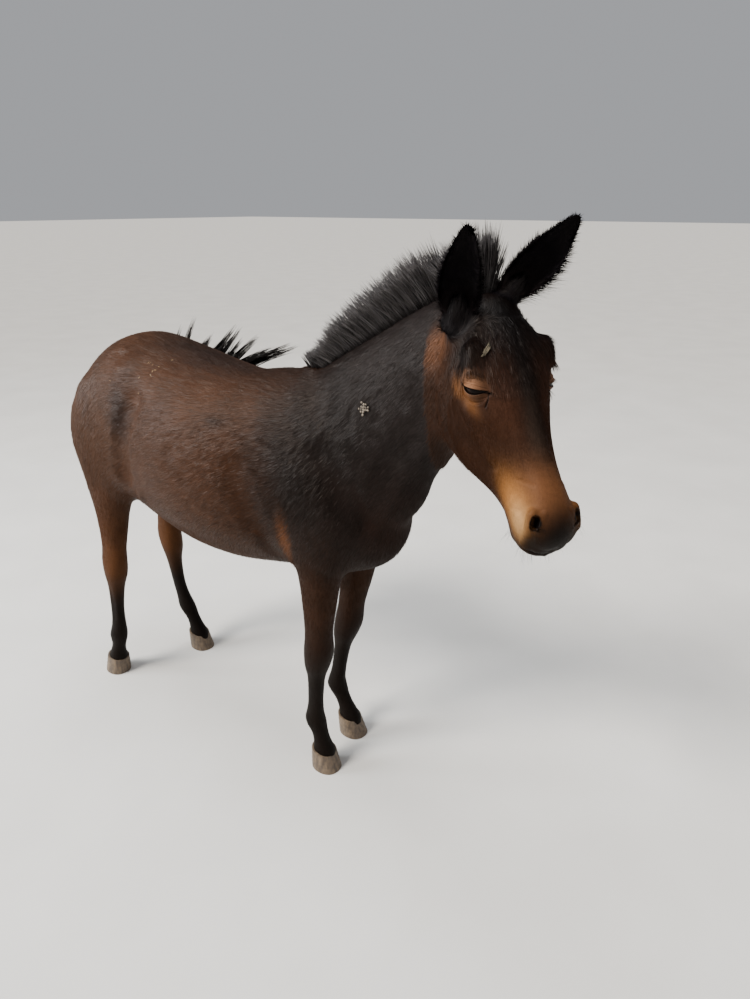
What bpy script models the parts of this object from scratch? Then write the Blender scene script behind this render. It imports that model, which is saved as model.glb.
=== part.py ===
"""A young mule that stands and dozes, life size. Metres, +Z up, facing -Y, hooves on the floor at z = 0."""

import math
from collections import namedtuple

import bmesh
import bpy
import numpy as np
from mathutils import Matrix, Vector

# One slice of a body form: its place along the form, its upper and lower edge, the height of its widest line,
# its half width, and how square it is above and below that line (2 is an ellipse, less is a ridge).
Slice = namedtuple("Slice", "at top bottom widest half_width above below")
# One slice across the neck: its middle, its half depth and its half width.
NeckSlice = namedtuple("NeckSlice", "x y z half_depth half_width")
# One level slice of a leg: height, half depth fore and aft, half width, how far its middle lies behind the bone line.
LegSlice = namedtuple("LegSlice", "height half_depth half_width behind")
# A raised or sunken line on the skin: its points, its reach to each side and how far it stands out.
Stroke = namedtuple("Stroke", "points reach rise")
# How one ear stands: its root on the head, its length, the way it points as shares of out, up and ahead,
# and the way its cup faces as shares of ahead and of to the animal's right.
EarPose = namedtuple("EarPose", "root length out up ahead faces_ahead faces_right")
# A thin plate that parts two nodes: its middle, the way it faces, and its half sizes along and across.
Plate = namedtuple("Plate", "middle facing along half_length half_width")
# A lock of hair: where it leaves the skin, the way it starts, the way it bends, its length, its half width
# and half thickness, and the way its flat side faces.
Lock = namedtuple("Lock", "root way bend length half_width half_thick flat")
# A fan of locks along the tail: how many, how steeply the first and last rise, and how long they are.
Fan = namedtuple("Fan", "count first_rise last_rise first_length last_length")

GAP = 0.0003
VOXEL = 0.0055
RING_POINTS = 40
BODY_TRIANGLES = 8200

TORSO = [
    Slice(0.487, 0.880, 0.720, 0.800, 0.060, 2.0, 2.0),
    Slice(0.456, 0.938, 0.650, 0.810, 0.103, 2.1, 2.0),
    Slice(0.405, 0.985, 0.610, 0.810, 0.132, 2.1, 2.0),
    Slice(0.330, 1.025, 0.575, 0.800, 0.154, 2.1, 2.0),
    Slice(0.230, 1.045, 0.542, 0.785, 0.168, 2.1, 2.0),
    Slice(0.120, 1.030, 0.516, 0.760, 0.182, 2.1, 2.0),
    Slice(0.000, 1.004, 0.500, 0.745, 0.196, 2.1, 2.0),
    Slice(-0.120, 0.990, 0.500, 0.740, 0.190, 2.0, 2.0),
    Slice(-0.220, 1.006, 0.516, 0.735, 0.172, 1.8, 2.0),
    Slice(-0.300, 1.010, 0.532, 0.735, 0.155, 1.7, 2.1),
    Slice(-0.380, 0.985, 0.545, 0.735, 0.143, 1.8, 2.1),
    Slice(-0.450, 0.940, 0.555, 0.720, 0.125, 2.0, 2.1),
    Slice(-0.505, 0.880, 0.580, 0.705, 0.097, 2.0, 2.0),
    Slice(-0.542, 0.810, 0.615, 0.705, 0.066, 2.0, 2.0),
    Slice(-0.562, 0.755, 0.660, 0.708, 0.034, 2.0, 2.0),
]

NECK = [
    NeckSlice(0.000, -0.270, 0.800, 0.200, 0.125),
    NeckSlice(0.000, -0.420, 0.845, 0.208, 0.115),
    NeckSlice(-0.004, -0.510, 0.928, 0.174, 0.088),
    NeckSlice(-0.014, -0.597, 1.007, 0.147, 0.074),
    NeckSlice(-0.028, -0.675, 1.075, 0.124, 0.064),
    NeckSlice(-0.044, -0.740, 1.125, 0.102, 0.058),
    NeckSlice(-0.056, -0.785, 1.150, 0.082, 0.050),
]

POLL = (-0.060, -0.770, 1.212)
HEAD_TURN = math.radians(30)
HEAD_DROP = math.radians(51)
# Along the face from the poll to the lips; heights are off the straight line of the profile.
HEAD = [
    Slice(-0.020, -0.030, -0.110, -0.065, 0.038, 2.0, 2.0),
    Slice(0.015, 0.002, -0.155, -0.060, 0.060, 2.0, 2.0),
    Slice(0.060, 0.018, -0.200, -0.055, 0.074, 2.1, 2.0),
    Slice(0.110, 0.025, -0.226, -0.045, 0.084, 2.2, 2.0),
    Slice(0.155, 0.022, -0.252, -0.045, 0.086, 2.1, 2.0),
    Slice(0.205, 0.010, -0.252, -0.055, 0.073, 1.9, 2.0),
    Slice(0.260, -0.001, -0.218, -0.065, 0.058, 1.9, 2.0),
    Slice(0.320, -0.007, -0.167, -0.068, 0.048, 2.0, 2.1),
    Slice(0.370, -0.008, -0.138, -0.068, 0.048, 2.2, 2.2),
    Slice(0.410, -0.012, -0.136, -0.068, 0.051, 2.2, 2.2),
    Slice(0.438, -0.030, -0.126, -0.072, 0.044, 2.0, 2.0),
    Slice(0.453, -0.054, -0.106, -0.078, 0.022, 2.0, 2.0),
]

FORE_LEG = [
    LegSlice(0.830, 0.070, 0.035, 0.000),
    LegSlice(0.760, 0.105, 0.052, 0.000),
    LegSlice(0.680, 0.110, 0.060, 0.000),
    LegSlice(0.620, 0.086, 0.058, 0.000),
    LegSlice(0.560, 0.061, 0.050, 0.000),
    LegSlice(0.480, 0.048, 0.041, 0.000),
    LegSlice(0.400, 0.038, 0.034, 0.000),
    LegSlice(0.345, 0.040, 0.037, -0.002),
    LegSlice(0.300, 0.034, 0.033, 0.002),
    LegSlice(0.265, 0.026, 0.023, 0.004),
    LegSlice(0.200, 0.024, 0.019, 0.004),
    LegSlice(0.160, 0.026, 0.021, 0.004),
    LegSlice(0.132, 0.031, 0.027, 0.005),
    LegSlice(0.100, 0.025, 0.022, 0.000),
    LegSlice(0.075, 0.025, 0.024, 0.000),
    LegSlice(0.052, 0.031, 0.030, 0.000),
    LegSlice(0.025, 0.033, 0.032, 0.000),
]
HIND_LEG = [
    LegSlice(0.930, 0.080, 0.030, 0.000),
    LegSlice(0.860, 0.140, 0.055, 0.000),
    LegSlice(0.770, 0.155, 0.068, 0.000),
    LegSlice(0.690, 0.135, 0.066, 0.000),
    LegSlice(0.620, 0.096, 0.055, 0.010),
    LegSlice(0.550, 0.066, 0.045, 0.010),
    LegSlice(0.480, 0.051, 0.038, 0.006),
    LegSlice(0.425, 0.045, 0.032, 0.006),
    LegSlice(0.385, 0.046, 0.033, 0.006),
    LegSlice(0.340, 0.038, 0.033, 0.000),
    LegSlice(0.295, 0.028, 0.025, 0.000),
    LegSlice(0.220, 0.024, 0.020, 0.000),
    LegSlice(0.165, 0.026, 0.022, 0.000),
    LegSlice(0.132, 0.031, 0.027, 0.004),
    LegSlice(0.100, 0.025, 0.022, 0.000),
    LegSlice(0.075, 0.025, 0.024, 0.000),
    LegSlice(0.052, 0.031, 0.030, 0.000),
    LegSlice(0.025, 0.033, 0.032, 0.000),
]
# Bone line of each leg, from the top down: points (x, y, z). The last one is the middle of the sole.
LEG_LINES = {
    "fore_leg_right": [(-0.080, -0.375, 0.830), (-0.083, -0.383, 0.580), (-0.078, -0.367, 0.350),
                       (-0.075, -0.354, 0.190), (-0.074, -0.352, 0.130), (-0.074, -0.370, 0.065),
                       (-0.074, -0.380, 0.000)],
    "fore_leg_left": [(0.080, -0.375, 0.830), (0.083, -0.372, 0.560), (0.079, -0.335, 0.340),
                      (0.076, -0.310, 0.200), (0.075, -0.302, 0.130), (0.074, -0.335, 0.065),
                      (0.074, -0.353, 0.000)],
    "hind_leg_right": [(-0.098, 0.330, 0.930), (-0.105, 0.335, 0.680), (-0.108, 0.355, 0.520),
                       (-0.110, 0.372, 0.400), (-0.113, 0.392, 0.250), (-0.117, 0.398, 0.130),
                       (-0.120, 0.414, 0.065), (-0.122, 0.422, 0.000)],
    "hind_leg_left": [(0.098, 0.330, 0.930), (0.105, 0.335, 0.680), (0.109, 0.370, 0.520),
                      (0.112, 0.400, 0.390), (0.117, 0.392, 0.220), (0.120, 0.360, 0.130),
                      (0.121, 0.325, 0.065), (0.122, 0.311, 0.000)],
}
# The heights at which the legs part from the trunk, and where the hooves begin.
FORE_SPLIT, HIND_SPLIT = 0.535, 0.560
CORONET = 0.052
HOOF_HALF_LENGTH = 0.041
HOOF_HALF_WIDTH = 0.034
HOOF_POINTS = 18

EARS = {
    "left": EarPose((-0.004, -0.014, 0.046), 0.168, 0.37, 0.74, 0.560, 0.97, 0.22),
    "right": EarPose((0.026, -0.028, -0.062), 0.168, 0.20, 0.86, 0.480, 0.82, 0.57),
}
EAR_HALF_WIDTH = 0.038
EAR_SUNK = 0.020

EYE_PLACE = (0.168, -0.031, 0.0705)
EYE_RADIUS = 0.0165
LID_THICK = 0.003
# Turns about the line across the eye at which the lids end, and how far they reach round the ball.
SLIT_TOP, SLIT_BOTTOM = math.radians(-22), math.radians(-36)
LID_REACH = math.radians(85)
LID_HALF_TURN = 1.3

TAIL_ROOT = (0.000, 0.462, 0.905)
TAIL_LINE = [TAIL_ROOT, (0.030, 0.520, 0.900), (0.095, 0.560, 0.885), (0.165, 0.540, 0.878),
             (0.212, 0.455, 0.876), (0.232, 0.340, 0.888), (0.234, 0.240, 0.900), (0.232, 0.140, 0.912)]
TAIL_HALF_WIDTHS = [0.026, 0.024, 0.021, 0.020, 0.021, 0.021, 0.018, 0.005]
TAIL_SPLIT = (0.196, 0.492, 0.878)

MANE_FROM, MANE_TO = -0.310, -0.676
CREST_STEP = 0.018
CREST_HEIGHTS = [0.034, 0.066, 0.084, 0.094, 0.100, 0.104, 0.104, 0.100]
MANE_LEANS = [0.55, 0.42, 0.36, 0.33, 0.30, 0.26, 0.20, 0.12]
MANE_LOCKS = 32
POLL_LINE = [(-0.037, -0.722, 1.208), (-0.044, -0.739, 1.212), (-0.052, -0.758, 1.211)]
POLL_HEIGHTS = [0.098, 0.104, 0.106]
POLL_LEANS = [0.15, 0.05]
POLL_LOCKS = 7
MANE_SEED, POLL_SEED, TAIL_SEED = 3, 6, 9
UPPER_FAN = Fan(13, math.radians(60), math.radians(16), 0.130, 0.285)
LOWER_FAN = Fan(7, math.radians(-38), math.radians(-4), 0.150, 0.230)
# The locks of the tail grow from its last third, as shares of its whole line.
FAN_FROM, FAN_TO = 0.64, 0.98
LOCK_HALF_WIDTH = 0.0165
TAIL_LOCK_HALF_WIDTH = 0.0145
LOCK_HALF_THICK = 0.0035

# How far along a lock each of its slices lies, and how wide it is there.
LOCK_STEPS = (-0.20, 0.0, 0.35, 0.70, 1.0)
LOCK_TAPER = (0.75, 1.00, 0.86, 0.50, 0.07)


def unit(v):
    v = np.asarray(v, float)
    return v / np.linalg.norm(v)


def along(rows, steps):
    """Rows of numbers made finer, on a smooth curve through them."""
    rows = np.array(rows, float)
    padded = np.vstack([2 * rows[0] - rows[1], rows, 2 * rows[-1] - rows[-2]])
    fine = []
    for i in range(len(rows) - 1):
        a, b, c, d = padded[i:i + 4]
        for t in np.arange(steps) / steps:
            fine.append(0.5 * (2 * b + (c - a) * t + (2 * a - 5 * b + 4 * c - d) * t**2
                               + (3 * b - a - 3 * c + d) * t**3))
    fine.append(rows[-1])
    return np.array(fine)


def ring(half_width, top, bottom, above, below, points=RING_POINTS):
    """A closed outline in its own plane, as (across, up) pairs about the widest line."""
    turn = 2 * np.pi * np.arange(points) / points
    c, s = np.cos(turn), np.sin(turn)
    power = np.where(s >= 0, above, below)
    reach = np.where(s >= 0, top, bottom)
    across = half_width * np.sign(c) * np.abs(c) ** (2 / power)
    up = reach * np.sign(s) * np.abs(s) ** (2 / power)
    return np.stack([across, up], 1)


def skin_over(rings):
    """The side faces of a skin over rings of equal length."""
    n = len(rings[0])
    faces = []
    for r in range(len(rings) - 1):
        for i in range(n):
            j = (i + 1) % n
            faces.append((r * n + i, r * n + j, (r + 1) * n + j, (r + 1) * n + i))
    return faces


def blade(rings):
    """A closed skin over rings that are each a row and the same row back, ended by strips across."""
    n, last = len(rings[0]), (len(rings) - 1) * len(rings[0])
    faces = skin_over(rings)
    for i in range(n // 2 - 1):
        ends = (i, i + 1, n - 2 - i, n - 1 - i)
        faces.append(ends[::-1])
        faces.append(tuple(last + k for k in ends))
    return np.concatenate(rings), faces


def tube(rings):
    """A closed skin over round rings of equal length, ended by fans."""
    n, count = len(rings[0]), len(rings)
    points = np.concatenate([*rings, [rings[0].mean(0)], [rings[-1].mean(0)]])
    faces = skin_over(rings)
    first, last = count * n, count * n + 1
    for i in range(n):
        j = (i + 1) % n
        faces.append((first, j, i))
        faces.append((last, (count - 1) * n + i, (count - 1) * n + j))
    return points, faces


def mesh_object(name, parts):
    """One object of one or more closed skins, each with its faces turned outwards."""
    points, faces, start = [], [], 0
    for part_points, part_faces in parts:
        points.append(part_points)
        faces += [tuple(i + start for i in face) for face in part_faces]
        start += len(part_points)
    mesh = bpy.data.meshes.new(name)
    mesh.from_pydata(np.concatenate(points).tolist(), [], faces)
    turn_outwards(mesh)
    made = bpy.data.objects.new(name, mesh)
    bpy.context.scene.collection.objects.link(made)
    return made


def turn_outwards(mesh):
    edit = bmesh.new()
    edit.from_mesh(mesh)
    bmesh.ops.recalc_face_normals(edit, faces=edit.faces)
    edit.to_mesh(mesh)
    edit.free()


def apply_modifiers(thing):
    """Replace an object's mesh by what its modifiers make of it."""
    graph = bpy.context.evaluated_depsgraph_get()
    mesh = bpy.data.meshes.new_from_object(thing.evaluated_get(graph), depsgraph=graph)
    thing.modifiers.clear()
    thing.data = mesh


def torso():
    """The trunk from the rump to the breast, in upright slices."""
    rings = []
    for at, top, bottom, widest, half_width, above, below in along(TORSO, 4):
        flat = ring(half_width, top - widest, widest - bottom, above, below)
        rings.append(np.stack([flat[:, 0], np.full(len(flat), at), widest + flat[:, 1]], 1))
    return tube(rings)


def sweep(line, half_across, half_up, above=2.0, below=2.0, points=RING_POINTS):
    """A closed skin round a line, with its upper side kept up."""
    rings = []
    for i in range(len(line)):
        ahead = unit(line[min(i + 1, len(line) - 1)] - line[max(i - 1, 0)])
        across = unit(np.cross(ahead, (0, 0, 1)))
        up = np.cross(across, ahead)
        flat = ring(half_across[i], half_up[i], half_up[i], above, below, points)
        rings.append(line[i] - flat[:, :1] * across + flat[:, 1:] * up)
    return tube(rings)


def neck():
    """A deep neck, sharper along its crest than below."""
    line = along(NECK, 5)
    return sweep(line[:, :3], line[:, 4], line[:, 3], 1.8, 2.0)


def head_axes():
    """The ways along the face to the nose, out of the forehead, and to the left cheek."""
    heading = np.array([-math.sin(HEAD_TURN), -math.cos(HEAD_TURN), 0])
    up = np.array([0, 0, 1])
    forward = math.cos(HEAD_DROP) * heading - math.sin(HEAD_DROP) * up
    dorsal = math.sin(HEAD_DROP) * heading + math.cos(HEAD_DROP) * up
    return forward, dorsal, np.cross(dorsal, forward)


def on_head(s, d, side):
    forward, dorsal, left = head_axes()
    return np.array(POLL) + s * forward + d * dorsal + side * left


def head():
    """The head from the poll to the lips, in slices across the face."""
    forward, dorsal, left = head_axes()
    rings = []
    for at, top, bottom, widest, half_width, above, below in along(HEAD, 4):
        flat = ring(half_width, top - widest, widest - bottom, above, below)
        rings.append(np.array(POLL) + at * forward + flat[:, :1] * left + (widest + flat[:, 1:]) * dorsal)
    return tube(rings)


def leg(name):
    """Level slices threaded on the leg's bone line."""
    line = along(LEG_LINES[name], 6)[::-1]
    rings = []
    for height, half_depth, half_width, behind in along(FORE_LEG if "fore" in name else HIND_LEG, 3)[::-1]:
        x = np.interp(height, line[:, 2], line[:, 0])
        y = np.interp(height, line[:, 2], line[:, 1]) + behind
        flat = ring(half_width, half_depth, half_depth, 2.1, 2.1)
        rings.append(np.stack([x + flat[:, 0], y + flat[:, 1], np.full(len(flat), height)], 1))
    return tube(rings)


def mirrored(points):
    """The same places on the other side of the head."""
    return [(s, d, -side) for s, d, side in points]


def face_strokes():
    """Brows, cheek bones, jaws, nostrils and mouth, as places on the head: along, out and to the left."""
    one_side = [
        ([(0.108, -0.002, 0.074), (0.134, -0.004, 0.090), (0.160, -0.018, 0.092)], 0.030, 0.018),
        ([(0.190, -0.070, 0.080), (0.230, -0.080, 0.070), (0.275, -0.082, 0.058)], 0.024, 0.006),
        ([(0.110, -0.135, 0.070), (0.165, -0.165, 0.066)], 0.055, 0.006),
        ([(0.060, -0.025, 0.056), (0.095, -0.035, 0.078)], 0.026, -0.006),
        ([(0.225, -0.130, 0.058), (0.280, -0.108, 0.050)], 0.034, -0.004),
        ([(0.396, -0.030, 0.042), (0.420, -0.046, 0.046), (0.430, -0.072, 0.042)], 0.018, 0.008),
        ([(0.408, -0.046, 0.048), (0.421, -0.062, 0.048)], 0.011, -0.016),
        ([(0.380, -0.106, 0.052), (0.412, -0.104, 0.050), (0.438, -0.098, 0.036), (0.454, -0.093, 0.000)],
         0.010, -0.007),
        ([(0.375, -0.126, 0.042), (0.405, -0.124, 0.038)], 0.020, 0.003),
    ]
    strokes = []
    for points, reach, rise in one_side:
        for places in (points, mirrored(points)):
            strokes.append(Stroke([on_head(*p) for p in places], reach, rise))
    strokes.append(Stroke([on_head(0.395, -0.136, 0.0), on_head(0.422, -0.130, 0.0)], 0.026, 0.006))
    strokes.append(Stroke([on_head(0.180, 0.016, 0.0), on_head(0.300, -0.004, 0.0)], 0.026, 0.003))
    return strokes


def body_strokes():
    """Shoulders, elbows, haunches and joints of the legs, on both sides."""
    one_side = [
        ([(0.120, -0.270, 0.950), (0.150, -0.360, 0.820), (0.140, -0.470, 0.720)], 0.070, 0.007),
        ([(0.170, -0.215, 0.800), (0.165, -0.255, 0.690), (0.130, -0.280, 0.600)], 0.050, -0.008),
        ([(0.110, -0.300, 0.640), (0.105, -0.310, 0.600)], 0.045, 0.008),
        ([(0.120, -0.430, 0.860), (0.125, -0.500, 0.760)], 0.050, -0.007),
        ([(0.060, -0.640, 0.960), (0.085, -0.560, 0.820), (0.095, -0.530, 0.720)], 0.045, -0.006),
        ([(0.125, 0.180, 0.985), (0.135, 0.215, 0.960)], 0.055, 0.009),
        ([(0.160, 0.140, 0.900), (0.175, 0.190, 0.800), (0.165, 0.205, 0.700)], 0.050, -0.013),
        ([(0.150, 0.235, 0.690), (0.140, 0.230, 0.640)], 0.050, 0.007),
        ([(0.130, 0.440, 0.860), (0.145, 0.400, 0.740), (0.120, 0.420, 0.640)], 0.050, -0.005),
        ([(0.018, 0.485, 0.880), (0.016, 0.500, 0.780)], 0.022, -0.006),
    ]
    strokes = []
    for points, reach, rise in one_side:
        for side in (1, -1):
            strokes.append(Stroke([np.array((side * x, y, z)) for x, y, z in points], reach, rise))
    return strokes


def distance_to_path(points, path):
    """The distance from each point to a bent line."""
    nearest = np.full(len(points), np.inf)
    for a, b in zip(path[:-1], path[1:]):
        t = np.clip((points - a) @ (b - a) / ((b - a) @ (b - a)), 0, 1)
        nearest = np.minimum(nearest, np.linalg.norm(points - a - t[:, None] * (b - a), axis=1))
    return nearest


def read_points(mesh):
    flat = np.empty(len(mesh.vertices) * 3, np.float32)
    mesh.vertices.foreach_get("co", flat)
    return flat.reshape(-1, 3).astype(float)


def write_points(mesh, points):
    mesh.vertices.foreach_set("co", points.astype(np.float32).ravel())
    mesh.update()


def read_normals(mesh):
    flat = np.empty(len(mesh.vertices) * 3, np.float32)
    mesh.vertex_normals.foreach_get("vector", flat)
    return flat.reshape(-1, 3).astype(float)


def relax(mesh, rounds, share):
    """Move each point towards the middle of its neighbours, by its own share."""
    edges = np.empty(len(mesh.edges) * 2, np.int32)
    mesh.edges.foreach_get("vertices", edges)
    a, b = edges.reshape(-1, 2).T
    count = np.bincount(a, minlength=len(share)) + np.bincount(b, minlength=len(share))
    points = read_points(mesh)
    for _ in range(rounds):
        middle = np.stack([np.bincount(a, points[b, k], len(share)) + np.bincount(b, points[a, k], len(share))
                           for k in range(3)], 1) / count[:, None]
        points += share[:, None] * (middle - points)
    write_points(mesh, points)


def smoothing_share(points):
    """Most on the trunk, least on the face and the lower legs."""
    on_face = np.clip(((points - POLL) @ head_axes()[0] + 0.02) / 0.06, 0, 1)
    on_face *= (points[:, 1] < -0.66)
    low = np.clip((0.56 - points[:, 2]) / 0.10, 0, 1)
    return 0.5 * (1 - 0.80 * np.maximum(on_face, low))


def sculpt(mesh, strokes):
    """Raise or sink the skin along each stroke."""
    for stroke in strokes:
        points = read_points(mesh)
        away = distance_to_path(points, stroke.points) / stroke.reach
        lift = stroke.rise * np.where(away < 1, (1 - away**2) ** 2, 0)
        write_points(mesh, points + lift[:, None] * read_normals(mesh))


def whole_body():
    """Trunk, neck, head and legs as one smooth skin."""
    body = mesh_object("body", [torso(), neck(), head()] + [leg(name) for name in LEG_LINES])
    remesh = body.modifiers.new("one skin", "REMESH")
    remesh.mode = "VOXEL"
    remesh.voxel_size = VOXEL
    apply_modifiers(body)
    relax(body.data, 36, smoothing_share(read_points(body.data)))
    sculpt(body.data, body_strokes() + face_strokes())
    relax(body.data, 3, np.full(len(body.data.vertices), 0.4))
    triangles = sum(len(face.vertices) - 2 for face in body.data.polygons)
    thin = body.modifiers.new("fewer faces", "DECIMATE")
    thin.ratio = BODY_TRIANGLES / triangles
    apply_modifiers(body)
    return body


def ear_axes(word):
    """The ways an ear points, faces and spreads."""
    pose = EARS[word]
    forward, _, left = head_axes()
    heading = unit(forward * (1, 1, 0))
    outwards = left if word == "left" else -left
    points_to = unit(pose.out * outwards + pose.up * np.array([0, 0, 1]) + pose.ahead * heading)
    faces = pose.faces_ahead * heading - pose.faces_right * left
    opens = unit(faces - (faces @ points_to) * points_to)
    return points_to, opens, np.cross(points_to, opens)


def ear(word):
    """A cupped blade: a closed stalk at the root, an open cup above it, and a narrow tip."""
    pose = EARS[word]
    points_to, opens, across = ear_axes(word)
    root = on_head(*pose.root) - EAR_SUNK * points_to
    rows = along([[0.0, 0.60, 0.60, -0.60], [0.12, 0.66, 0.62, -0.30], [0.25, 0.88, 0.66, 0.36],
                  [0.45, 1.00, 0.60, 0.44], [0.65, 0.86, 0.44, 0.32], [0.82, 0.58, 0.28, 0.18],
                  [0.94, 0.32, 0.15, 0.07], [1.0, 0.10, 0.05, 0.00]], 2)
    turn = np.linspace(-np.pi / 2, np.pi / 2, 9)
    rings = []
    for t, half_width, back, inner in rows:
        outer = np.stack([np.sin(turn) * half_width, -np.cos(turn) * back], 1)
        inside = np.stack([np.sin(turn) * half_width * 0.9, -np.cos(turn) * inner], 1)[::-1]
        flat = np.concatenate([outer, inside]) * EAR_HALF_WIDTH
        middle = root + t * (pose.length + EAR_SUNK) * points_to + 0.012 * math.sin(math.pi * t) * opens
        rings.append(middle + flat[:, :1] * across + flat[:, 1:] * opens)
    return blade(rings)


def shell_piece(middle, out, up, radius, thick, low, high, reach):
    """A closed piece of a thick ball shell, between two turns about the line across the eye."""
    across = unit(np.cross(up, out))
    up = np.cross(out, across)
    rings = []
    for turn in np.linspace(low, high, 6):
        inner, outer = [], []
        for side in np.linspace(-reach, reach, 9):
            way = math.cos(side) * (math.cos(turn) * out + math.sin(turn) * up) + math.sin(side) * across
            inner.append(middle + radius * way)
            outer.append(middle + (radius + thick) * way)
        rings.append(np.array(inner + outer[::-1]))
    return blade(rings)


def eye_frame(side):
    """The middle of an eyeball, the way it looks and the way up its lids."""
    forward, dorsal, left = head_axes()
    middle = on_head(EYE_PLACE[0], EYE_PLACE[1], side * EYE_PLACE[2])
    out = unit(side * left + 0.35 * dorsal + 0.05 * forward)
    return middle, out, unit(dorsal - forward * 0.9)


def lids(side):
    """An upper and a lower lid, with the narrow slit of a dozing eye between them."""
    middle, out, up = eye_frame(side)
    made = []
    for low, high in ((SLIT_TOP, LID_REACH), (-LID_REACH, SLIT_BOTTOM)):
        made.append(shell_piece(middle, out, up, EYE_RADIUS + 2 * GAP, LID_THICK, low, high, LID_HALF_TURN))
    return made


def ball(name, middle, radius):
    mesh = bpy.data.meshes.new(name)
    edit = bmesh.new()
    bmesh.ops.create_uvsphere(edit, u_segments=14, v_segments=8, radius=radius,
                              matrix=Matrix.Translation(Vector(middle)))
    edit.to_mesh(mesh)
    edit.free()
    made = bpy.data.objects.new(name, mesh)
    bpy.context.scene.collection.objects.link(made)
    return made


def dock():
    """The tail's root and core, swung to the left and forward beside the loin."""
    line = along(np.column_stack([TAIL_LINE, TAIL_HALF_WIDTHS]), 3)
    start = line[:1].copy()
    start[0, 1] -= 0.06
    line = np.vstack([start, line])
    return sweep(line[:, :3], line[:, 3], line[:, 3], points=12)


def block(plate, half_thick):
    """A closed box round a plate."""
    facing, along_way = unit(plate.facing), np.array(plate.along, float)
    along_way = unit(along_way - (along_way @ facing) * facing)
    across = np.cross(facing, along_way)
    corners = []
    for thick in (-half_thick, half_thick):
        for a, b in ((-1, -1), (1, -1), (1, 1), (-1, 1)):
            corners.append(plate.middle + thick * facing + a * plate.half_length * along_way
                           + b * plate.half_width * across)
    faces = [(0, 3, 2, 1), (4, 5, 6, 7), (0, 1, 5, 4), (1, 2, 6, 5), (2, 3, 7, 6), (3, 0, 4, 7)]
    return np.array(corners), faces


def plates():
    """Where the nodes part: head, neck, ears, legs and tail."""
    made = [
        Plate(np.array([-0.038, -0.688, 1.045]), (-0.20, -0.97, -0.09), (0, 0, 1), 0.235, 0.13),
        Plate(np.array([0.0, -0.430, 0.885]), (0.0, -0.602, 0.798), (0.0, -0.798, -0.602), 0.290, 0.21),
        Plate(np.array([0.032, 0.524, 0.899]), (0.55, 0.83, -0.10), (0, 0, 1), 0.042, 0.042),
        Plate(np.array(TAIL_SPLIT), (0.50, -0.86, 0.02), (0, 0, 1), 0.042, 0.042),
    ]
    for word, pose in EARS.items():
        points_to, opens, _ = ear_axes(word)
        middle = on_head(*pose.root) + 0.020 * points_to
        made.append(Plate(middle, points_to, opens, 0.042, 0.040))
    for name, line in LEG_LINES.items():
        level = FORE_SPLIT if "fore" in name else HIND_SPLIT
        line = np.array(line)[::-1]
        x, y = (np.interp(level, line[:, 2], line[:, k]) for k in (0, 1))
        made.append(Plate(np.array([x, y, level]), (0, 0, 1), (0, 1, 0), 0.105, 0.070))
    return made


def foot_boxes():
    """Solid blocks that take off each leg below its coronet."""
    made = []
    for name, line in LEG_LINES.items():
        middle, slant = coronet(name)
        plate = Plate(middle - 0.05 * slant, slant, (0, 1, 0), 0.06, 0.05)
        made.append(block(plate, 0.05))
    return made


def coronet(name):
    """Where a hoof begins: its middle and the slanted way up from it."""
    line = np.array(LEG_LINES[name])[::-1]
    x, y = (np.interp(CORONET, line[:, 2], line[:, k]) for k in (0, 1))
    return np.array([x, y, CORONET]), unit((0, -0.22, 1))


def hoof(name):
    """An upright hoof: a round wall that widens to a flat sole."""
    top, slant = coronet(name)
    sole = np.array(LEG_LINES[name][-1])
    rings = []
    for t in np.linspace(0, 1, 4):
        half_length = HOOF_HALF_LENGTH * (0.78 + 0.22 * t)
        half_width = HOOF_HALF_WIDTH * (0.90 + 0.10 * t)
        flat = ring(half_width, half_length, half_length * 0.92, 2.0, 2.3, HOOF_POINTS)
        middle = top * (1 - t) + sole * t
        points = np.stack([middle[0] + flat[:, 0], middle[1] + flat[:, 1], np.full(HOOF_POINTS, middle[2])], 1)
        points[:, 2] -= (1 - t) * (points[:, 1] - top[1]) * slant[1] / slant[2] + (1 - t) * GAP
        rings.append(points)
    return mesh_object(name, [tube(rings[::-1])])


def combine(thing, pieces, operation, solver="EXACT"):
    """Join closed pieces to an object, or take them from it."""
    group = bpy.data.collections.new("pieces")
    bpy.context.scene.collection.children.link(group)
    for piece in pieces:
        bpy.context.scene.collection.objects.unlink(piece)
        group.objects.link(piece)
    tool = thing.modifiers.new("join", "BOOLEAN")
    tool.operation = operation
    tool.operand_type = "COLLECTION"
    tool.collection = group
    tool.solver = solver
    apply_modifiers(thing)
    for piece in pieces:
        bpy.data.objects.remove(piece)
    bpy.data.collections.remove(group)


def closed_surfaces(mesh):
    """The mesh's separate closed surfaces, largest first, as lists of face numbers joined across edges."""
    sides = np.empty(len(mesh.loops), np.int32)
    mesh.loops.foreach_get("edge_index", sides)
    faces = np.repeat(np.arange(len(mesh.polygons)), [len(face.vertices) for face in mesh.polygons])
    faces = faces[np.argsort(sides, kind="stable")]
    a, b = faces[0::2], faces[1::2]
    owner = np.arange(len(mesh.polygons))
    while True:
        low = np.minimum(owner[a], owner[b])
        changed = (owner[a] != low).any() or (owner[b] != low).any()
        np.minimum.at(owner, a, low)
        np.minimum.at(owner, b, low)
        owner = owner[owner]
        if not changed:
            break
    groups = {}
    for face, first in enumerate(owner):
        groups.setdefault(first, []).append(face)
    return sorted(groups.values(), key=len, reverse=True)


def piece_of(mesh, faces, name):
    """A new object of some of a mesh's faces."""
    used = sorted({v for f in faces for v in mesh.polygons[f].vertices})
    place = {v: i for i, v in enumerate(used)}
    points = read_points(mesh)[used]
    return mesh_object(name, [(points, [tuple(place[v] for v in mesh.polygons[f].vertices) for f in faces])])


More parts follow.
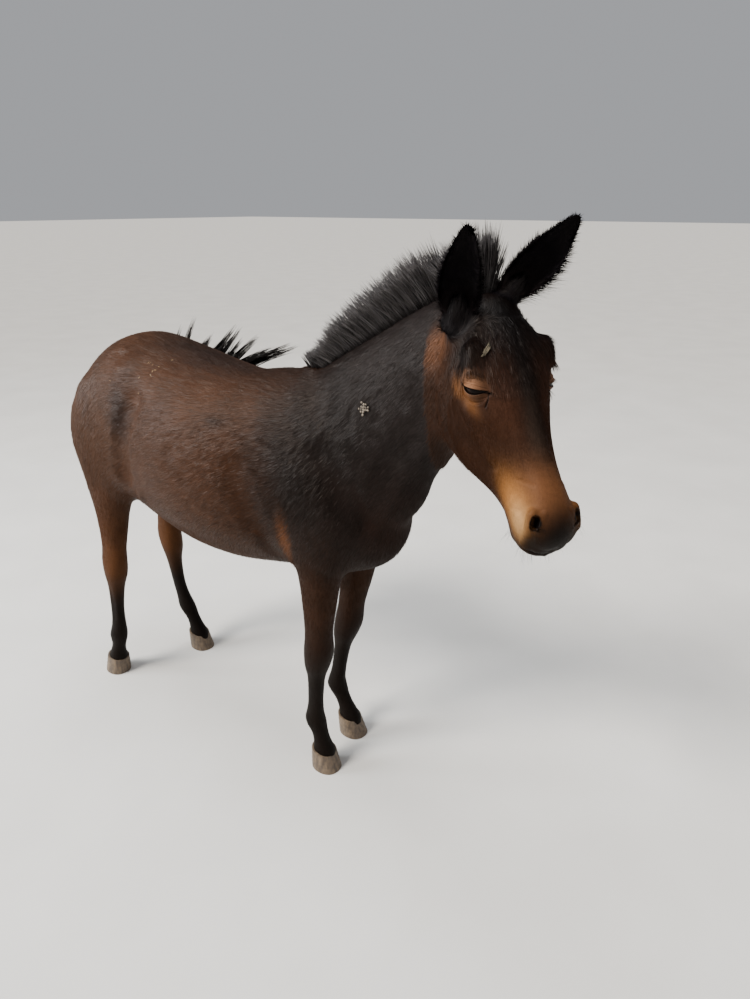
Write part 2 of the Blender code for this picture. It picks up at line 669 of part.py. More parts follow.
def part_nodes(body):
    """Split the parted body into named nodes by where each piece lies."""
    places = {"torso": (0, 0, 0.76), "neck": (-0.02, -0.58, 0.98), "head": on_head(0.19, -0.08, 0),
              "tail_base": TAIL_LINE[2], "tail": TAIL_LINE[5]}
    for word, pose in EARS.items():
        places["ear_" + word] = on_head(*pose.root) + 0.11 * ear_axes(word)[0]
    for name, line in LEG_LINES.items():
        places[name] = (line[3][0], line[3][1], 0.30)
    nodes = {}
    surfaces = closed_surfaces(body.data)[:len(places)]
    points = read_points(body.data)
    for faces in surfaces:
        used = sorted({v for f in faces for v in body.data.polygons[f].vertices})
        middle = (points[used].min(0) + points[used].max(0)) / 2
        name = min(places, key=lambda n: np.linalg.norm(middle - places[n]))
        nodes[name] = piece_of(body.data, faces, name)
    bpy.data.objects.remove(body)
    return nodes


def crest_line():
    """The top of the neck from the withers to the poll, in even steps."""
    line = along(NECK, 5)
    tops = []
    for i in range(len(line)):
        ahead = unit(line[min(i + 1, len(line) - 1), :3] - line[max(i - 1, 0), :3])
        across = unit(np.cross(ahead, (0, 0, 1)))
        top = line[i, :3] + line[i, 3] * np.cross(across, ahead)
        if not tops or top[1] < tops[-1][1] - CREST_STEP:
            tops.append(top)
    return np.array(tops)


def lock(hair):
    """A flat tapered blade that leaves its root one way and bends towards another."""
    rings = []
    for t, share in zip(LOCK_STEPS, LOCK_TAPER):
        middle = hair.root + hair.length * (t * hair.way + t * abs(t) * hair.bend)
        ahead = unit(hair.way + 2 * abs(t) * hair.bend)
        across = unit(np.cross(hair.flat, ahead))
        wide = share * hair.half_width * across
        thick = max(share, 0.3) * hair.half_thick * np.cross(ahead, across)
        rings.append(np.array([middle - wide, middle + thick, middle + wide, middle - thick]))
    return blade(rings)


def standing_locks(tops, heights, leans, count, draw):
    """Locks that stand on a line in two staggered rows, their tips leaning back."""
    made = []
    for i in range(count):
        share = (i + 0.5 + draw.uniform(-0.2, 0.2)) / count
        at = share * (len(tops) - 1)
        k = min(int(at), len(tops) - 2)
        top = tops[k] + (at - k) * (tops[k + 1] - tops[k])
        ahead = unit(tops[k + 1] - tops[k])
        across = unit(np.cross(ahead, (0, 0, 1)))
        side = 1 if i % 2 else -1
        lean = np.interp(share, np.linspace(0, 1, len(leans)), leans) + draw.uniform(-0.07, 0.07)
        way = unit(np.cross(across, ahead) - lean * ahead + side * draw.uniform(0.00, 0.09) * across)
        bend = 0.10 * side * across - draw.uniform(0.02, 0.12) * ahead
        height = np.interp(share, np.linspace(0, 1, len(heights)), heights) * draw.uniform(0.90, 1.06)
        flat = unit(across + draw.uniform(-0.25, 0.25) * ahead)
        root = top + side * 0.005 * across
        made.append(Lock(root, way, bend, height, LOCK_HALF_WIDTH, LOCK_HALF_THICK, flat))
    return [lock(hair) for hair in made]


def mane_locks():
    tops = crest_line()
    tops = tops[(tops[:, 1] < MANE_FROM) & (tops[:, 1] > MANE_TO)]
    return standing_locks(tops, CREST_HEIGHTS, MANE_LEANS, MANE_LOCKS, np.random.default_rng(MANE_SEED))


def poll_locks():
    draw = np.random.default_rng(POLL_SEED)
    return standing_locks(along(POLL_LINE, 2), POLL_HEIGHTS, POLL_LEANS, POLL_LOCKS, draw)


def tail_locks():
    """Long locks that fan from the swung tail, over the back and forward along the flank."""
    draw = np.random.default_rng(TAIL_SEED)
    line = along(TAIL_LINE, 6)[:, :3]
    made = []
    for fan in (UPPER_FAN, LOWER_FAN):
        for i in range(fan.count):
            share = (i + 0.5) / fan.count
            at = (FAN_FROM + (FAN_TO - FAN_FROM) * share) * (len(line) - 1)
            root = line[int(at)] + (at - int(at)) * (line[int(at) + 1] - line[int(at)])
            rise = fan.first_rise + (fan.last_rise - fan.first_rise) * share + math.radians(draw.uniform(-8, 8))
            way = unit((draw.uniform(-0.16, 0.10), -math.cos(rise), math.sin(rise)))
            bend = np.array([draw.uniform(-0.12, 0.04), 0, draw.uniform(-0.16, 0.06)])
            length = (fan.first_length + (fan.last_length - fan.first_length) * share) * draw.uniform(0.88, 1.10)
            flat = np.array([1.0, 0.1, 0.2])
            made.append(Lock(root, way, bend, length, TAIL_LOCK_HALF_WIDTH, LOCK_HALF_THICK, flat))
    return [lock(hair) for hair in made]


def keep_largest(node):
    """The node without any crumb that a Boolean left beside its main surface."""
    surfaces = closed_surfaces(node.data)
    if len(surfaces) == 1:
        return node
    name = node.name
    kept = piece_of(node.data, surfaces[0], name + "_kept")
    bpy.data.objects.remove(node)
    kept.name = name
    return kept


def finish(name, colour, roughness):
    material = bpy.data.materials.new(name)
    material.use_nodes = True
    shader = material.node_tree.nodes["Principled BSDF"]
    shader.inputs["Base Color"].default_value = (*colour, 1)
    shader.inputs["Roughness"].default_value = roughness
    return material


COLOURS = {"head": (0.060, 0.024, 0.014), "neck": (0.018, 0.014, 0.013), "torso": (0.045, 0.020, 0.013),
           "tail": (0.012, 0.010, 0.010), "fore_leg": (0.026, 0.015, 0.011), "hind_leg": (0.030, 0.017, 0.012),
           "hoof": (0.150, 0.125, 0.100), "ear": (0.014, 0.010, 0.009), "eye": (0.008, 0.006, 0.005)}


def main():
    for old in list(bpy.data.objects):
        bpy.data.objects.remove(old)
    body = whole_body()
    added = [mesh_object("ear", [ear(word)]) for word in EARS]
    added += [mesh_object("lid", [lid]) for side in (1, -1) for lid in lids(side)]
    added.append(mesh_object("dock", [dock()]))
    combine(body, added, "UNION")
    cutters = [mesh_object("plate", [block(plate, GAP / 2)]) for plate in plates()]
    cutters += [mesh_object("foot", [box]) for box in foot_boxes()]
    cutters += [ball("pit", eye_frame(side)[0], EYE_RADIUS + GAP) for side in (1, -1)]
    combine(body, cutters, "DIFFERENCE", "MANIFOLD")
    nodes = part_nodes(body)
    hair = {"neck": mane_locks(), "head": poll_locks(), "tail": tail_locks()}
    for name, locks in hair.items():
        combine(nodes[name], [mesh_object("lock", [made]) for made in locks], "UNION", "MANIFOLD")
    for name in LEG_LINES:
        hoof_name = name.replace("leg", "hoof")
        nodes[hoof_name] = hoof(name)
        nodes[hoof_name].name = hoof_name
    for side, word in ((1, "left"), (-1, "right")):
        nodes["eye_" + word] = ball("eye_" + word, eye_frame(side)[0], EYE_RADIUS)
    nodes = {name: keep_largest(node) for name, node in nodes.items()}
    set_down(nodes)
    for name, node in nodes.items():
        kind = next(k for k in COLOURS if k in name.replace("_left", "").replace("_right", ""))
        roughness = 0.15 if kind == "eye" else 0.6
        node.data.materials.append(finish(name, COLOURS[kind], roughness))
        node.data.shade_smooth()
        node.data.set_sharp_from_angle(angle=math.radians(50))


def set_down(nodes):
    """Shift the whole animal so that the middle of its outline's base is the origin."""
    low = np.min([read_points(node.data).min(0) for node in nodes.values()], axis=0)
    high = np.max([read_points(node.data).max(0) for node in nodes.values()], axis=0)
    shift = np.array([(low[0] + high[0]) / 2, (low[1] + high[1]) / 2, low[2]])
    for node in nodes.values():
        write_points(node.data, read_points(node.data) - shift)


if __name__ == "__main__":
    main()
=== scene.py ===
"""A young mule that stands and dozes, dressed in its coat. Metres, +Z up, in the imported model's frame."""

import math
from collections import namedtuple

import bmesh
import bpy
import numpy as np
from mathutils import Matrix, Vector


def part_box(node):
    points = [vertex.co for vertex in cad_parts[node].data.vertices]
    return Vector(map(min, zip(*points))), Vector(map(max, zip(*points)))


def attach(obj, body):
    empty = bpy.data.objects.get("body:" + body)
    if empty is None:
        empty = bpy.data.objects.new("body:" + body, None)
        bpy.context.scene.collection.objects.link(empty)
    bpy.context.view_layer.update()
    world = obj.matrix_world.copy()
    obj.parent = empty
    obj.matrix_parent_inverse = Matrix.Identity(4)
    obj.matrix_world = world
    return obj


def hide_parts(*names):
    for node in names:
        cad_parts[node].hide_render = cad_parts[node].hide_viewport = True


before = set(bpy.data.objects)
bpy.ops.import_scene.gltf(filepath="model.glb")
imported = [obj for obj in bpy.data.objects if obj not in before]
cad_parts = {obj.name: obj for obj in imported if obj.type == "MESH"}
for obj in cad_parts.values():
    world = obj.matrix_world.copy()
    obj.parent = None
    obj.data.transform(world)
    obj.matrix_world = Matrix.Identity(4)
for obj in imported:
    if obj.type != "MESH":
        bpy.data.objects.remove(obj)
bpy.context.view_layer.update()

# One slice of a body form: its place along the form, its upper and lower edge, the height of its widest line,
# its half width, and how square it is above and below that line (2 is an ellipse, less is a ridge).
Slice = namedtuple("Slice", "at top bottom widest half_width above below")
NeckSlice = namedtuple("NeckSlice", "x y z half_depth half_width")
# One level slice of a leg: height, half depth fore and aft, half width, and how far its middle lies behind
# the bone line.
LegSlice = namedtuple("LegSlice", "height half_depth half_width behind")
# A raised or sunken line on the skin: its points, its reach to each side and how far it stands out.
Stroke = namedtuple("Stroke", "points reach rise")
EarPose = namedtuple("EarPose", "root length out up ahead faces_ahead faces_right")
# A patch of another colour in the coat, or of painted shade or sheen: its middle, its reach along each axis,
# its colour and its strength.
Patch = namedtuple("Patch", "middle reach colour strength")
# A fan of hair clumps: how many, and the rise in degrees and the length of the first and the last.
Fan = namedtuple("Fan", "count first_rise last_rise first_length last_length")
# Bits caught in the coat: where, how many, how far apart, how long and wide, their colour, and the way they
# lie, if they lie alike.
Litter = namedtuple("Litter", "place count spread length half_width colour way")
Lamp = namedtuple("Lamp", "name place size power colour")

VOXEL = 0.0056
RING_POINTS = 40

TORSO = [
    Slice(0.487, 0.880, 0.720, 0.800, 0.060, 2.0, 2.0),
    Slice(0.456, 0.938, 0.650, 0.810, 0.103, 2.1, 2.0),
    Slice(0.405, 0.985, 0.610, 0.810, 0.132, 2.1, 2.0),
    Slice(0.330, 1.025, 0.575, 0.800, 0.154, 2.1, 2.0),
    Slice(0.230, 1.045, 0.542, 0.785, 0.168, 2.1, 2.0),
    Slice(0.120, 1.030, 0.516, 0.760, 0.182, 2.1, 2.0),
    Slice(0.000, 1.004, 0.500, 0.745, 0.196, 2.1, 2.0),
    Slice(-0.120, 0.990, 0.500, 0.740, 0.190, 2.0, 2.0),
    Slice(-0.220, 1.006, 0.516, 0.735, 0.172, 1.8, 2.0),
    Slice(-0.300, 1.010, 0.532, 0.735, 0.155, 1.7, 2.1),
    Slice(-0.380, 0.985, 0.545, 0.735, 0.143, 1.8, 2.1),
    Slice(-0.450, 0.940, 0.555, 0.720, 0.125, 2.0, 2.1),
    Slice(-0.505, 0.880, 0.580, 0.705, 0.097, 2.0, 2.0),
    Slice(-0.542, 0.810, 0.615, 0.705, 0.066, 2.0, 2.0),
    Slice(-0.562, 0.755, 0.660, 0.708, 0.034, 2.0, 2.0),
]

NECK = [
    NeckSlice(0.000, -0.270, 0.800, 0.200, 0.125),
    NeckSlice(0.000, -0.420, 0.845, 0.208, 0.115),
    NeckSlice(-0.004, -0.510, 0.928, 0.174, 0.088),
    NeckSlice(-0.014, -0.597, 1.007, 0.147, 0.074),
    NeckSlice(-0.028, -0.675, 1.075, 0.124, 0.064),
    NeckSlice(-0.044, -0.740, 1.125, 0.102, 0.058),
    NeckSlice(-0.056, -0.785, 1.150, 0.082, 0.050),
]

POLL = (-0.060, -0.770, 1.212)
# What belongs to the head lies in front of this place on the neck.
HEAD_BEGINS = -0.66
HEAD_TURN = math.radians(30)
HEAD_DROP = math.radians(51)
UP = np.array([0.0, 0.0, 1.0])
ACROSS = np.array([1.0, 0.0, 0.0])
BACKWARDS = np.array([0.0, 1.0, 0.0])
# The level way that the head is turned to, and the ways down the face, out of the forehead and to its left.
HEADING = np.array([-math.sin(HEAD_TURN), -math.cos(HEAD_TURN), 0.0])
FORWARD = math.cos(HEAD_DROP) * HEADING - math.sin(HEAD_DROP) * UP
DORSAL = math.sin(HEAD_DROP) * HEADING + math.cos(HEAD_DROP) * UP
LEFT = np.cross(DORSAL, FORWARD)
HEAD_AXES = np.array([FORWARD, DORSAL, LEFT])
# Along the face from the poll to the lips; heights are off the straight line of the profile.
HEAD = [
    Slice(-0.020, -0.030, -0.110, -0.065, 0.038, 2.0, 2.0),
    Slice(0.015, 0.002, -0.155, -0.060, 0.060, 2.0, 2.0),
    Slice(0.060, 0.018, -0.200, -0.055, 0.074, 2.1, 2.0),
    Slice(0.110, 0.025, -0.226, -0.045, 0.084, 2.2, 2.0),
    Slice(0.155, 0.022, -0.252, -0.045, 0.086, 2.1, 2.0),
    Slice(0.205, 0.010, -0.252, -0.055, 0.073, 1.9, 2.0),
    Slice(0.260, -0.001, -0.218, -0.065, 0.058, 1.9, 2.0),
    Slice(0.320, -0.007, -0.167, -0.068, 0.048, 2.0, 2.1),
    Slice(0.370, -0.008, -0.138, -0.068, 0.048, 2.2, 2.2),
    Slice(0.410, -0.012, -0.136, -0.068, 0.051, 2.2, 2.2),
    Slice(0.438, -0.030, -0.126, -0.072, 0.044, 2.0, 2.0),
    Slice(0.453, -0.054, -0.106, -0.078, 0.022, 2.0, 2.0),
]

# Fore and hind legs are alike from below the fetlock down.
FETLOCK_DOWN = [
    LegSlice(0.100, 0.025, 0.022, 0.000),
    LegSlice(0.075, 0.025, 0.024, 0.000),
    LegSlice(0.052, 0.031, 0.030, 0.000),
    LegSlice(0.025, 0.033, 0.032, 0.000),
]
FORE_LEG = [
    LegSlice(0.830, 0.070, 0.035, 0.000),
    LegSlice(0.760, 0.105, 0.052, 0.000),
    LegSlice(0.680, 0.110, 0.060, 0.000),
    LegSlice(0.620, 0.086, 0.058, 0.000),
    LegSlice(0.560, 0.061, 0.050, 0.000),
    LegSlice(0.480, 0.048, 0.041, 0.000),
    LegSlice(0.400, 0.038, 0.034, 0.000),
    LegSlice(0.345, 0.040, 0.037, -0.002),
    LegSlice(0.300, 0.034, 0.033, 0.002),
    LegSlice(0.265, 0.026, 0.023, 0.004),
    LegSlice(0.200, 0.024, 0.019, 0.004),
    LegSlice(0.160, 0.026, 0.021, 0.004),
    LegSlice(0.132, 0.031, 0.027, 0.005),
] + FETLOCK_DOWN
HIND_LEG = [
    LegSlice(0.930, 0.080, 0.030, 0.000),
    LegSlice(0.860, 0.140, 0.055, 0.000),
    LegSlice(0.770, 0.155, 0.068, 0.000),
    LegSlice(0.690, 0.135, 0.066, 0.000),
    LegSlice(0.620, 0.096, 0.055, 0.010),
    LegSlice(0.550, 0.066, 0.045, 0.010),
    LegSlice(0.480, 0.051, 0.038, 0.006),
    LegSlice(0.425, 0.045, 0.032, 0.006),
    LegSlice(0.385, 0.046, 0.033, 0.006),
    LegSlice(0.340, 0.038, 0.033, 0.000),
    LegSlice(0.295, 0.028, 0.025, 0.000),
    LegSlice(0.220, 0.024, 0.020, 0.000),
    LegSlice(0.165, 0.026, 0.022, 0.000),
    LegSlice(0.132, 0.031, 0.027, 0.004),
] + FETLOCK_DOWN
# Bone line of each leg, from the top down: points (x, y, z). The last one is the middle of the sole.
LEG_LINES = {
    "fore_leg_right": [(-0.080, -0.375, 0.830), (-0.083, -0.383, 0.580), (-0.078, -0.367, 0.350),
                       (-0.075, -0.354, 0.190), (-0.074, -0.352, 0.130), (-0.074, -0.370, 0.065),
                       (-0.074, -0.380, 0.000)],
    "fore_leg_left": [(0.080, -0.375, 0.830), (0.083, -0.372, 0.560), (0.079, -0.335, 0.340),
                      (0.076, -0.310, 0.200), (0.075, -0.302, 0.130), (0.074, -0.335, 0.065),
                      (0.074, -0.353, 0.000)],
    "hind_leg_right": [(-0.098, 0.330, 0.930), (-0.105, 0.335, 0.680), (-0.108, 0.355, 0.520),
                       (-0.110, 0.372, 0.400), (-0.113, 0.392, 0.250), (-0.117, 0.398, 0.130),
                       (-0.120, 0.414, 0.065), (-0.122, 0.422, 0.000)],
    "hind_leg_left": [(0.098, 0.330, 0.930), (0.105, 0.335, 0.680), (0.109, 0.370, 0.520),
                      (0.112, 0.400, 0.390), (0.117, 0.392, 0.220), (0.120, 0.360, 0.130),
                      (0.121, 0.325, 0.065), (0.122, 0.311, 0.000)],
}
EARS = {
    "left": EarPose((-0.004, -0.014, 0.046), 0.168, 0.37, 0.74, 0.560, 0.97, 0.22),
    "right": EarPose((0.026, -0.028, -0.062), 0.168, 0.20, 0.86, 0.480, 0.82, 0.57),
}
EAR_HALF_WIDTH = 0.037
EAR_SUNK = 0.020
# Share of the way up an ear, and there its half width, the depth of its back and how far its inside lies
# behind its edges, as shares of the ear's half width.
EAR_SLICES = [
    (0.00, 0.60, 0.60, -0.60),
    (0.12, 0.66, 0.62, -0.30),
    (0.25, 0.88, 0.66, 0.36),
    (0.45, 1.00, 0.60, 0.44),
    (0.65, 0.86, 0.44, 0.32),
    (0.82, 0.58, 0.28, 0.18),
    (0.94, 0.32, 0.15, 0.07),
    (1.00, 0.10, 0.05, 0.00),
]
# Share of the way up an ear, and the half width that its fur is laid out by.
EAR_WIDTHS = [(-0.1, 0.6), (0.0, 0.66), (0.4, 1.0), (0.65, 0.86), (0.9, 0.45), (1.0, 0.1)]
# Height and radius of the rings of an ear's round root.
STALK_RINGS = [(-0.030, 0.034), (-0.010, 0.029), (0.010, 0.0225), (0.026, 0.0195), (0.036, 0.012)]
CORONET = 0.052
HOOF_HALF_LENGTH = 0.041
HOOF_HALF_WIDTH = 0.034
# How much the coronet rises for each step back.
CORONET_SLANT = 0.22

# The eye is a larger ball set deeper than the solid one, so that it shows at the same place between the lids.
EYE_PLACE = (0.163, -0.036, 0.0600)
EYE_RADIUS = 0.0235
LID_THICK = 0.0024
SLIT_HALF_LENGTH = 0.0225
SLIT_HALF_HEIGHT = 0.0045
SLIT_BELOW = -0.0045
# Half the length and height of the lids that carry no tufts.
LID_REACH = (0.031, 0.021)
# How far the lids' front corner leads inwards to the nose, and downwards, as shares of its way ahead.
EYE_INWARD = 0.55
EYE_SLANT = 0.11
LASHES = 46
# From the root of a lash or whisker to its tip.
LASH_HALF_WIDTHS = (0.00022, 0.00018, 0.00012)

TAIL_LINE = [(0.000, 0.462, 0.905), (0.030, 0.520, 0.900), (0.095, 0.560, 0.885), (0.165, 0.540, 0.878),
             (0.212, 0.455, 0.876), (0.232, 0.340, 0.888), (0.234, 0.240, 0.900), (0.232, 0.140, 0.912)]
TAIL_HALF_WIDTHS = [0.026, 0.022, 0.019, 0.017, 0.016, 0.015, 0.011, 0.004]
# The tail from where it leaves the trunk.
FREE_TAIL = np.array(TAIL_LINE)[1:]

MANE_FROM, MANE_TO = -0.285, -0.690
CREST_STEP = 0.018
CREST_HEIGHTS = [0.026, 0.062, 0.082, 0.092, 0.099, 0.102, 0.104, 0.102]
MANE_LEANS = [0.60, 0.45, 0.38, 0.34, 0.30, 0.26, 0.20, 0.14]
POLL_LINE = [(-0.033, -0.700, 1.206), (-0.044, -0.739, 1.214), (-0.053, -0.760, 1.212)]
POLL_HEIGHTS = [0.100, 0.104, 0.106]
POLL_LEANS = [0.85, 0.40, 0.12, 0.05]
MANE_HAIRS, POLL_HAIRS = 3600, 1200
# Half width of the band that the roots stand in.
MANE_BAND, POLL_BAND = 0.016, 0.017
HAIRS_IN_BUNCH = 34

# The camera stands where the photo was taken: its place and the way it looks, level and then tipped down.
CAMERA_PLACE = (-1.2505, -1.3949, 1.350)
CAMERA_HEADING = (0.8068, 0.5909)
CAMERA_DROP = math.radians(21.57)
FOCAL_SHARE = 750 / 999
SENSOR = 36.0

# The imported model's origin is the middle of its outline; the numbers here start from the middle of the feet.
RIGHT_FORE_SOLE = (-0.074, -0.380)
hoof_low, hoof_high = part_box("fore_hoof_right")
SHIFT = np.array([RIGHT_FORE_SOLE[0] - (hoof_low[0] + hoof_high[0]) / 2,
                  RIGHT_FORE_SOLE[1] - HOOF_HALF_LENGTH - hoof_low[1], 0.0])

SMOOTHING_ROUNDS = 35
SKIN_DEPTH = 0.0045
EYE_AREA = [(0.158, -0.036, 0.076), (0.172, -0.024, 0.074)]
NOSTRIL = [(0.4055, -0.0265, 0.0410), (0.4145, -0.0325, 0.0440)]
NOSTRIL_TAIL = [(0.4145, -0.0325, 0.0440), (0.4210, -0.0330, 0.0385), (0.4260, -0.0300, 0.0310)]
NOSTRIL_DEPTH = [(0.4100, -0.0295, 0.0425), (0.4065, -0.0500, 0.0150)]
MOUTH = [(0.374, -0.099, 0.053), (0.400, -0.088, 0.053), (0.4245, -0.081, 0.050), (0.4370, -0.081, 0.040),
         (0.4470, -0.083, 0.026), (0.4540, -0.085, 0.000)]
# Forms raised or sunk on the left side and its mirror image, each a line of points, its reach and its rise.
# On the body: shoulders, elbows, haunches and the joints of the legs.
BODY_FORMS = [
    ([(0.120, -0.270, 0.950), (0.150, -0.360, 0.820), (0.140, -0.470, 0.720)], 0.070, 0.005),
    ([(0.170, -0.215, 0.800), (0.165, -0.255, 0.690), (0.130, -0.280, 0.600)], 0.050, -0.008),
    ([(0.110, -0.300, 0.640), (0.105, -0.310, 0.600)], 0.045, 0.008),
    ([(0.120, -0.430, 0.860), (0.125, -0.500, 0.760)], 0.050, -0.007),
    ([(0.060, -0.640, 0.960), (0.085, -0.560, 0.820), (0.095, -0.530, 0.720)], 0.045, -0.006),
    ([(0.125, 0.180, 0.985), (0.135, 0.215, 0.960)], 0.055, 0.009),
    ([(0.160, 0.140, 0.900), (0.175, 0.190, 0.800), (0.165, 0.205, 0.700)], 0.050, -0.013),
    ([(0.150, 0.235, 0.690), (0.140, 0.230, 0.640)], 0.050, 0.007),
    ([(0.130, 0.440, 0.860), (0.145, 0.400, 0.740), (0.120, 0.420, 0.640)], 0.050, -0.005),
    ([(0.018, 0.485, 0.880), (0.016, 0.500, 0.780)], 0.022, -0.006),
]
# On the head, along the face, out of it and to the left: brows, cheek bones, jaws, nostrils and lips.
FACE_FORMS = [
    ([(0.108, -0.002, 0.074), (0.134, -0.004, 0.090), (0.160, -0.018, 0.092)], 0.030, 0.018),
    ([(0.190, -0.070, 0.080), (0.230, -0.080, 0.070), (0.275, -0.082, 0.058)], 0.024, 0.006),
    ([(0.110, -0.135, 0.070), (0.165, -0.165, 0.066)], 0.055, 0.006),
    ([(0.060, -0.025, 0.056), (0.095, -0.035, 0.078)], 0.026, -0.006),
    ([(0.225, -0.130, 0.058), (0.280, -0.108, 0.050)], 0.034, -0.004),
    ([(0.396, -0.030, 0.042), (0.420, -0.046, 0.046), (0.430, -0.072, 0.042)], 0.018, 0.008),
    ([(0.375, -0.126, 0.042), (0.405, -0.124, 0.038)], 0.020, 0.003),
]
# Along the middle of the head: the chin and the bridge of the nose.
FACE_MIDLINE = [
    ([(0.395, -0.136, 0.0), (0.422, -0.130, 0.0)], 0.026, 0.006),
    ([(0.180, 0.016, 0.0), (0.300, -0.004, 0.0)], 0.026, 0.003),
]
# Finer forms of the face: nostrils, lips, folds and veins.
FACE_DETAILS = [
    ([(0.392, -0.030, 0.044), (0.404, -0.040, 0.050), (0.420, -0.050, 0.050)], 0.013, 0.0035),
    ([(0.401, -0.015, 0.030), (0.413, -0.020, 0.036), (0.423, -0.030, 0.040)], 0.011, 0.0040),
    (NOSTRIL, 0.0082, -0.0230),
    (NOSTRIL, 0.0062, -0.0120),
    (NOSTRIL_TAIL, 0.0045, -0.0035),
    ([(0.410, -0.019, 0.034), (0.418, -0.023, 0.034)], 0.006, 0.0020),
    (MOUTH, 0.0050, -0.0065),
    ([(s, d + 0.009, across) for s, d, across in MOUTH], 0.009, 0.0018),
    ([(s, d - 0.010, across) for s, d, across in MOUTH], 0.010, 0.0020),
    ([(0.370, -0.106, 0.050), (0.362, -0.092, 0.052)], 0.008, -0.0018),
    ([(0.364, -0.080, 0.052), (0.378, -0.060, 0.050)], 0.010, -0.0014),
    ([(0.200, -0.055, 0.082), (0.250, -0.064, 0.064), (0.310, -0.070, 0.052)], 0.007, 0.0016),
    ([(0.215, -0.082, 0.076), (0.252, -0.098, 0.060), (0.290, -0.120, 0.048)], 0.006, 0.0014),
    ([(0.140, -0.100, 0.082), (0.180, -0.128, 0.078), (0.205, -0.160, 0.062)], 0.008, 0.0012),
    ([(0.090, -0.030, 0.080), (0.112, -0.052, 0.084)], 0.014, -0.0022),
    ([(0.350, -0.020, 0.030), (0.330, -0.040, 0.044)], 0.007, -0.0010),
]
# Skin folds, tendons and hollows that the coat follows.
BODY_FOLDS = [
    ([(0.150, -0.245, 0.640), (0.135, -0.262, 0.585), (0.115, -0.262, 0.545)], 0.016, 0.005),
    ([(0.150, 0.120, 0.700), (0.150, 0.165, 0.640), (0.135, 0.200, 0.600)], 0.020, 0.006),
    ([(0.090, -0.500, 0.800), (0.080, -0.520, 0.720)], 0.022, -0.004),
    ([(0.085, -0.345, 0.360), (0.085, -0.345, 0.330)], 0.020, 0.003),
    ([(0.083, -0.300, 0.300), (0.082, -0.310, 0.180)], 0.010, -0.003),
    ([(0.130, 0.385, 0.330), (0.135, 0.392, 0.190)], 0.010, -0.003),
    ([(0.118, 0.440, 0.520), (0.122, 0.452, 0.440)], 0.016, 0.005),
]
# How far the painted shade of the nostrils and the mouth reaches from each line, and how far the bare skin
# there does.
SHADE_PATHS = [(NOSTRIL, 0.0102), (NOSTRIL_DEPTH, 0.0115), (NOSTRIL_TAIL, 0.0060), (MOUTH, 0.0048)]
BARE_PATHS = [(NOSTRIL, 0.0095), (MOUTH, 0.0026)]
# Folds of the lids: height over the eye's middle, half width and depth.
LID_FOLDS = [(0.0060, 0.0013, 0.0018), (0.0125, 0.0016, 0.0012), (0.0185, 0.0018, 0.0010),
             (0.0240, 0.0020, 0.0008), (-0.0175, 0.0018, 0.0014), (-0.0240, 0.0022, 0.0010)]

# Creases at the corners of the lids and the tear line, as places ahead and up in the eye's own frame,
# with their half width and depth.
CORNER_CREASES = [
    ([(0.018, -0.002, 0), (0.026, -0.003, 0), (0.036, -0.001, 0)], 0.0026, 0.0030),
    ([(0.026, -0.004, 0), (0.028, -0.014, 0), (0.026, -0.026, 0)], 0.0016, 0.0020),
    ([(-0.028, 0.001, 0), (-0.020, -0.001, 0)], 0.0020, 0.0018),
]

# Number of tufts in each piece of a part's coat, and the length, half width and rise of one tuft.
TUFTS = {"torso": 44000, "neck": 46000, "head": 36000, "leg": 11000, "tail": 3000}
PIECES = {"torso": 3, "head": 2}
FUR = {"torso": (0.0190, 0.00075, 0.085), "neck": (0.0180, 0.00075, 0.10), "head": (0.0080, 0.00050, 0.08),
       "leg": (0.0110, 0.00065, 0.08), "tail": (0.0340, 0.00110, 0.16)}
SLOTS = {"torso": "coat_body", "neck": "coat_neck", "head": "coat_head", "tail": "hair_tail_base"}
SLOTS.update({name: "coat_" + name for name in LEG_LINES})
EAR_TUFTS = 8500
# The coat ends at this height, where the hoof begins.
COAT_ENDS = 0.047
# How far a flat tuft is shaded as round from side to side, and how unevenly the tufts catch the light.
ROUNDING = 0.35
UNEVEN = 0.17
CLUMPING = 0.20
# Sizes of the clumps and of the lighter and darker streaks, and how much both are drawn out along the coat.
CLUMP_SIZE = 0.014
STREAK_SIZE = 0.011
DRAWN_OUT = 0.75
# A hair's own patch on the unwrap, and the unwrap's empty edge.
PATCH_HALF_WIDTH = 0.0014
PATCH_LENGTH = 0.0028
UNWRAP_MARGIN = 0.003
# A hair's colour at its root, near its end and at its tip, as shares of its own.
ROOT_SHADE = 0.88
END_SHADE = 1.05
TIP_SHADE = 1.12

# The colour of the light that the hair throws back.
WARM_SHEEN = (1.0, 0.87, 0.78, 1.0)

# Colours of the coat, skin, horn and eye as they would measure in even light, apart from the painted shade and
# sheen noted at each.
BARREL = (0.032, 0.0120, 0.0048)
BACK = (0.0046, 0.0016, 0.0008)
# The reddish brown of the rump, lightened as painted sheen.
RUMP_AND_SHEEN = (0.034, 0.0145, 0.0068)
SHOULDER = (0.0022, 0.0010, 0.0008)
# The near black of the neck and the front of the trunk, greyed and lightened a little as painted sheen.
NECK_AND_SHEEN = (0.0078, 0.0056, 0.0054)
# Painted shade in the hollow of the flank in front of the haunch.
FLANK_HOLLOW_SHADE = (0.010, 0.0034, 0.0015)
BELLY = (0.050, 0.020, 0.0080)
CHEST = (0.010, 0.0035, 0.0018)
ELBOW = (0.085, 0.030, 0.0100)
GASKIN = (0.054, 0.0200, 0.0062)
FOREARM = (0.0100, 0.0042, 0.0022)
CANNON = (0.0030, 0.0018, 0.0013)
CHEEK = (0.016, 0.0055, 0.0020)
# Near black: the dark coat of the forehead and the top of the face, with the painted shadow of the ears.
FOREHEAD_AND_SHADOW = (0.0012, 0.0010, 0.0012)
